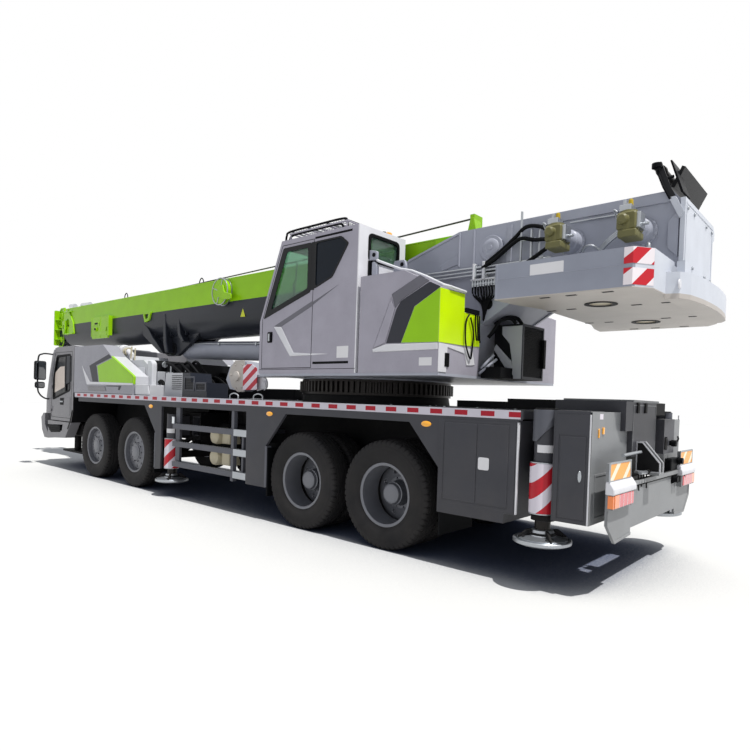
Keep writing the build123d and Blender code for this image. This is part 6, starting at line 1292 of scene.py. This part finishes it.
# Boom: side plates and gussets, jib lugs, reel, rope eyes, top tube and ropes
BOOM_Y = 0.4
group("boom_top_edges", "boom", enamel_lime, "lime", box(-0.35, 11.34, BOOM_Y - 0.015, BOOM_Y + 0.006,
         3.662, 3.683, 0.004), both=True)
group("boom_head_bracket", "boom", enamel_lime, "lime",
      hoop([(11.3, 3.6), (11.3, 3.05), (10.78, 3.05), (10.86, 3.32), (11.1, 3.6)],
           [(11.22, 3.4), (11.22, 3.24), (11.06, 3.22), (11.06, 3.36), (11.12, 3.42)], BOOM_Y - 0.002,
           BOOM_Y + 0.03), box(10.78, 11.3, BOOM_Y, BOOM_Y + 0.07, 3.03, 3.055, 0.004),
      box(10.95, 11.36, BOOM_Y, BOOM_Y + 0.05, 3.58, 3.6, 0.004), both=True)
lug_rows = [(8.8, 8.83, 2.9, 3.34), (9.65, 9.68, 2.9, 3.34), (9.2, 9.23, 2.86, 3.34)]
group("jib_lug_ribs", "boom", enamel_lime, "lime", *[box(x0, x1, BOOM_Y - 0.004, 0.486, z0, z1, 0.004)
         for x0, x1, z0, z1 in lug_rows],
      turned([(0, 0.0006), (0, 0.055), (0.02, 0.052), (0.024, 0.03), (0.024, 0.0006)], (9.42, 0.48, 3.06),
             "y", 32), slab(rounded([(9.6, 3.24), (9.26, 3.22), (9.26, 3.14), (9.6, 3.14)], 0.02), 0.479,
                            0.492, "y", 0.004),
      slab(rounded([(9.2, 3.02), (8.88, 3.0), (8.88, 2.92), (9.2, 2.92)], 0.02), 0.479, 0.49, "y", 0.004))
group("jib_lug_pins", "boom", satin_black, "black_steel",
      turned([(-0.004, 0.0006), (-0.004, 0.03), (0.034, 0.028), (0.034, 0.0006)], (9.42, 0.482, 3.06), "y",
             20), box(9.32, 9.48, 0.486, 0.493, 3.165, 3.21, 0.002))
group("sling_eye", "boom", enamel_lime, "lime",
      hoop(rounded([(7.39, 3.3), (7.06, 3.3), (7.12, 3.13), (7.3, 3.09)], 0.03),
           rounded([(7.32, 3.26), (7.15, 3.26), (7.18, 3.17), (7.27, 3.15)], 0.02), BOOM_Y - 0.002,
           BOOM_Y + 0.03))
eyes = []
for x in (8.385, 5.45):
    eyes.append(tube(smooth_path([(x - 0.07, 0.3, 3.67), (x - 0.06, 0.3, 3.76), (x, 0.3, 3.81),
                                  (x + 0.06, 0.3, 3.76), (x + 0.07, 0.3, 3.67)], 7), 0.01, 10))
group("rope_eyes", "boom", satin_black, "black_steel", *eyes)
group("rope_eye_feet", "boom", enamel_lime, "lime",
      boxes([(8.29, 8.48, 0.26, 0.34, 3.678, 3.7), (5.36, 5.54, 0.26, 0.34, 3.678, 3.7)], 0.006))
REEL = (4.57, 3.45)
rims = [turned([(0, 0.222), (0, 0.238), (0.01, 0.238), (0.01, 0.222)], (REEL[0], y, REEL[1]), "y", 56, True)
        for y in (0.405, 0.488)]
spokes = [tube([(REEL[0] + 0.05 * math.cos(t), 0.493, REEL[1] + 0.05 * math.sin(t)),
                (REEL[0] + 0.226 * math.cos(t), 0.493, REEL[1] + 0.226 * math.sin(t))], 0.008, 8)
          for t in np.radians((20, 110, 200, 290))]
group("reel_rims", "boom", zinc_steel, "lime", *rims, *spokes)
group("reel_arm", "boom", enamel_lime, "lime",
      slab(rounded([(4.62, 3.52), (4.46, 3.56), (4.4, 3.42), (4.21, 3.38), (4.21, 3.28), (4.44, 3.3),
                    (4.6, 3.36)], 0.03), 0.492, 0.52, "y", 0.006))
group("reel_hose", "boom", enamel_lime, "lime", turned([(0, 0.17), (0, 0.215), (0.07, 0.215), (0.07, 0.17)],
         (REEL[0], 0.412, REEL[1]), "y", 56, True))
triangle = [(4.085, 2.99), (3.955, 2.985), (4.025, 3.125)]
# Yellow film of the blank warning triangle.
film_yellow = finish("film_yellow", "#c9cf3a", 0.4, grain=3, relief=0.02)
group("boom_triangle", "boom", film_yellow, "carrier_dark", slab(triangle, 0.3985, 0.4025, "y", 0.0005))
gusset = [(7.42, 3.1), (7.4, 2.84), (7.2, 2.72), (6.72, 2.46), (6.58, 2.44), (6.72, 2.56), (7.02, 2.78),
          (7.22, 2.98)]
fin_mid = [(6.6, 3.22), (6.57, 2.64), (6.5, 2.46), (6.42, 2.46), (6.48, 2.66), (6.53, 3.22)]
fin_back = [(6.1, 3.1), (6.06, 2.78), (5.92, 2.64), (5.86, 2.66), (5.98, 2.8), (6.03, 3.1)]
group("lift_gussets", "boom", enamel_boom, "carrier_dark", slab(gusset, 0.26, 0.402, "y", 0.006),
      slab(fin_mid, 0.26, 0.412, "y", 0.006), slab(fin_back, 0.26, 0.402, "y", 0.006),
      box(5.62, 7.46, 0.1, 0.268, 2.74, 2.765, 0.004), both=True)
eye_ring = turned([(0.0, 0.062), (0.0, 0.125), (0.014, 0.125), (0.014, 0.062)], (6.45, 0.255, 2.535), "y",
                  40, True)
group("lift_eye_rings", "boom", chassis_black, "black_steel", eye_ring,
      turned([(0, 0.0006), (0, 0.056), (0.03, 0.052), (0.03, 0.0006)], (6.45, 0.255, 2.535), "y", 32),
      both=True)
group("head_tube", "boom", hard_chrome, "steel", tube([(10.9, 0.0, 3.815), (11.345, 0.0, 3.83)], 0.06, 32))
group("head_tube_front", "boom_section_5", hard_chrome, "steel",
      tube([(11.8, 0.0, 3.845), (12.06, 0.0, 3.86)], 0.06, 32))
flange = [(-0.398, 2.8), (0.398, 2.8), (0.398, 3.7), (-0.398, 3.7)]
group("head_flange", "boom_section_5", enamel_lime, "lime",
      hoop(rounded(flange, 0.03), rounded([(-0.262, 2.86), (0.262, 2.86), (0.262, 3.66), (-0.262, 3.66)],
                                          0.02), 12.066, 12.094, "x"),
      *[slab([(11.8, z), (12.07, z), (12.07, z + 0.1)], 0.262, 0.285, "y", 0.004)
        for z in (2.95, 3.25, 3.55)],
      *[slab([(11.9, 0.262), (12.07, 0.262), (12.07, 0.39)], z, z + 0.016, "z", 0.003)
        for z in (2.95, 3.2, 3.45)])
group("head_tube_feet", "boom", enamel_lime, "lime",
      slab([(10.72, 3.68), (11.3, 3.68), (11.26, 3.79), (11.02, 3.83)], -0.2, -0.185, "y", 0.004),
      slab([(10.72, 3.68), (11.3, 3.68), (11.26, 3.79), (11.02, 3.83)], -0.05, -0.035, "y", 0.004))
collar_bolts = bolts([(11.3, 3.62), (11.3, 3.45), (11.3, 3.28)], 0.014, 0.012, "y", BOOM_Y)
group("collar_bolts", "boom", zinc_steel, "steel", collar_bolts, both=True)
group("boom_guide", "boom", enamel_lime, "lime",
      slab([(-0.425, 3.86), (-0.375, 3.86), (-0.34, 3.7), (-0.46, 3.7)], 0.236, 0.384, "y", 0.004))
group("boom_rope", "boom", wire_rope, "steel",
      tube([(-0.4, 0.3, 3.875), (2.0, 0.27, 3.8), (6.0, 0.22, 3.74), (11.2, 0.1, 3.72)], 0.011, 8))
sheave_pins = [turned([(-0.03, 0.0006), (-0.03, 0.07), (0.0, 0.075), (0.012, 0.06), (0.012, 0.0006)],
                      (11.925, 0.272, z), "y", 32) for z in (3.56, 2.96)]
group("head_pins", "boom_section_5", enamel_lime, "lime", *sheave_pins, both=True)
plate_edge = [(11.772, 2.885), (11.862, 2.758), (12.095, 2.768), (12.095, 3.695), (11.998, 3.765),
              (11.802, 3.765), (11.772, 3.545)]
group("head_plate_rims", "boom_section_5", enamel_lime, "lime",
      hoop(plate_edge, inset(plate_edge, 0.03), 0.258, 0.275), both=True)
group("head_rods", "boom_section_5", zinc_steel, "steel", tube([(11.84, -0.27, 3.72), (11.84, 0.27, 3.72)],
         0.016, 12), tube([(12.05, -0.27, 3.3), (12.05, 0.27, 3.3)], 0.02, 12),
      tube([(12.05, -0.27, 2.8), (12.05, 0.27, 2.8)], 0.016, 12))
group("collar_lips", "boom", enamel_lime, "lime", box(11.2, 11.225, BOOM_Y - 0.002, BOOM_Y + 0.012, 3.02,
         3.66, 0.004), both=True)

# Lift cylinder: gland and foot rings, feed pipe with clamps
axis = np.array([6.45 - 1.95, 0, 2.535 - 2.37])
axis = axis / np.linalg.norm(axis)
foot = np.array([1.95, 0, 2.37])
reach = math.hypot(4.5, 0.165)


def ring_on(start, end, radius):
    """A band round the cylinder between two distances from its foot pin."""
    return tube([foot + axis * start, foot + axis * end], radius, 56)


group("barrel_bands", "lift_cylinder_barrel", enamel_plate_grey, "plate_grey",
      ring_on(reach - 0.225, reach - 0.176, 0.181), ring_on(reach - 0.4, reach - 0.385, 0.1735),
      ring_on(0.3, 0.345, 0.18))
group("barrel_gland", "lift_cylinder_barrel", chassis_black, "black_steel",
      ring_on(reach - 0.172, reach - 0.16, 0.15))
feed = [tuple(foot + axis * s + (0, 0.15, 0.115)) for s in (0.5, reach - 0.45)]
group("barrel_pipe", "lift_cylinder_barrel", zinc_steel, "steel", tube(feed, 0.014, 10),
      *[moved(box(-0.02, 0.02, 0.118, 0.178, 0.085, 0.135, 0.004), tuple(foot + axis * s))
        for s in (0.9, 2.0, 3.1)])

# Floor, light and camera


def stage_floor():
    """A broad pale floor just under the tyres. Seen straight it is white but for shadows, and near the
    crane its colour is darkened as painted shade.
    """
    mesh = bpy.data.meshes.new("floor")
    mesh.from_pydata([(-60, -60, 0), (60, -60, 0), (60, 60, 0), (-60, 60, 0)], [], [[0, 1, 2, 3]])
    floor = bpy.data.objects.new("floor", mesh)
    bpy.context.scene.collection.objects.link(floor)
    material = bpy.data.materials.new("pale_floor")
    material.use_nodes = True
    tree = material.node_tree
    tree.nodes.clear()
    # Where the ambient occlusion is low, under and beside the crane, the colour goes over to a dark
    # blue-grey: painted shade that deepens the cast shadow.
    near = add(tree, "ShaderNodeAmbientOcclusion", {"Distance": 3.0}, samples=8)
    open_sky = add(tree, "ShaderNodeMapRange", {0: near.outputs["AO"], 1: 0.25, 2: 0.6})
    shade = blended(tree, open_sky.outputs[0], colour("#565d70"), colour("#d0d0ce"))
    body = add(tree, "ShaderNodeBsdfDiffuse", {"Color": shade})
    add(tree, "ShaderNodeOutputMaterial", {0: body.outputs[0]})
    mesh.materials.append(material)


stage_floor()


def lamp(name, kind, energy, place, aim, **settings):
    """A lamp at a place that looks at a point."""
    data = bpy.data.lights.new(name, kind)
    data.energy = energy
    for key, value in settings.items():
        setattr(data, key, value)
    obj = bpy.data.objects.new(name, data)
    bpy.context.scene.collection.objects.link(obj)
    way = Vector(aim) - Vector(place)
    obj.matrix_world = Matrix.Translation(place) @ way.to_track_quat("-Z", "Y").to_matrix().to_4x4()


lamp("sun", "SUN", 4.2, (-8, 0.5, 18), (0, 0, 0), angle=math.radians(1.2), color=(1, 0.985, 0.96))

world = bpy.data.worlds.new("studio")
bpy.context.scene.world = world
world.use_nodes = True
tree = world.node_tree
tree.nodes.clear()
rays = add(tree, "ShaderNodeLightPath")
plain = add(tree, "ShaderNodeMath", {0: rays.outputs["Is Camera Ray"], 1: rays.outputs["Is Glossy Ray"]},
            operation="MAXIMUM")
plain = add(tree, "ShaderNodeMath", {0: plain.outputs[0], 1: rays.outputs["Is Transmission Ray"]},
            operation="MAXIMUM")
room = add(tree, "ShaderNodeBackground", {"Color": (0.93, 0.97, 1.07, 1), "Strength": 0.5})
seen = add(tree, "ShaderNodeBackground", {"Color": (1, 1, 1, 1), "Strength": 1.0})
mix = add(tree, "ShaderNodeMixShader", {0: plain.outputs[0], 1: room.outputs[0], 2: seen.outputs[0]})
add(tree, "ShaderNodeOutputWorld", {0: mix.outputs[0]})

# The camera stands where the photographer stood, left of the tail at eye height.
EYE = (-8.749, 6.341, 1.667)
YAW, PITCH, ROLL = -0.85493, -0.01998, -0.03288
FOCAL_PX, IMAGE_PX, DOWN_PX = 584.81, 750, 36.496
ahead = Vector((math.cos(YAW) * math.cos(PITCH), math.sin(YAW) * math.cos(PITCH), math.sin(PITCH)))
level = Vector((math.sin(YAW), -math.cos(YAW), 0))
down = ahead.cross(level)
right = math.cos(ROLL) * level + math.sin(ROLL) * down
down = -math.sin(ROLL) * level + math.cos(ROLL) * down
camera_data = bpy.data.cameras.new("camera")
camera_data.sensor_width = 36
camera_data.lens = FOCAL_PX / IMAGE_PX * camera_data.sensor_width
camera_data.shift_y = DOWN_PX / IMAGE_PX
camera_data.clip_end = 200
camera = bpy.data.objects.new("camera", camera_data)
bpy.context.scene.collection.objects.link(camera)
camera.matrix_world = Matrix.Translation(EYE) @ Matrix([[right[i], -down[i], -ahead[i]]
         for i in range(3)]).to_4x4()
bpy.context.scene.camera = camera
bpy.context.scene.view_settings.view_transform = "Standard"
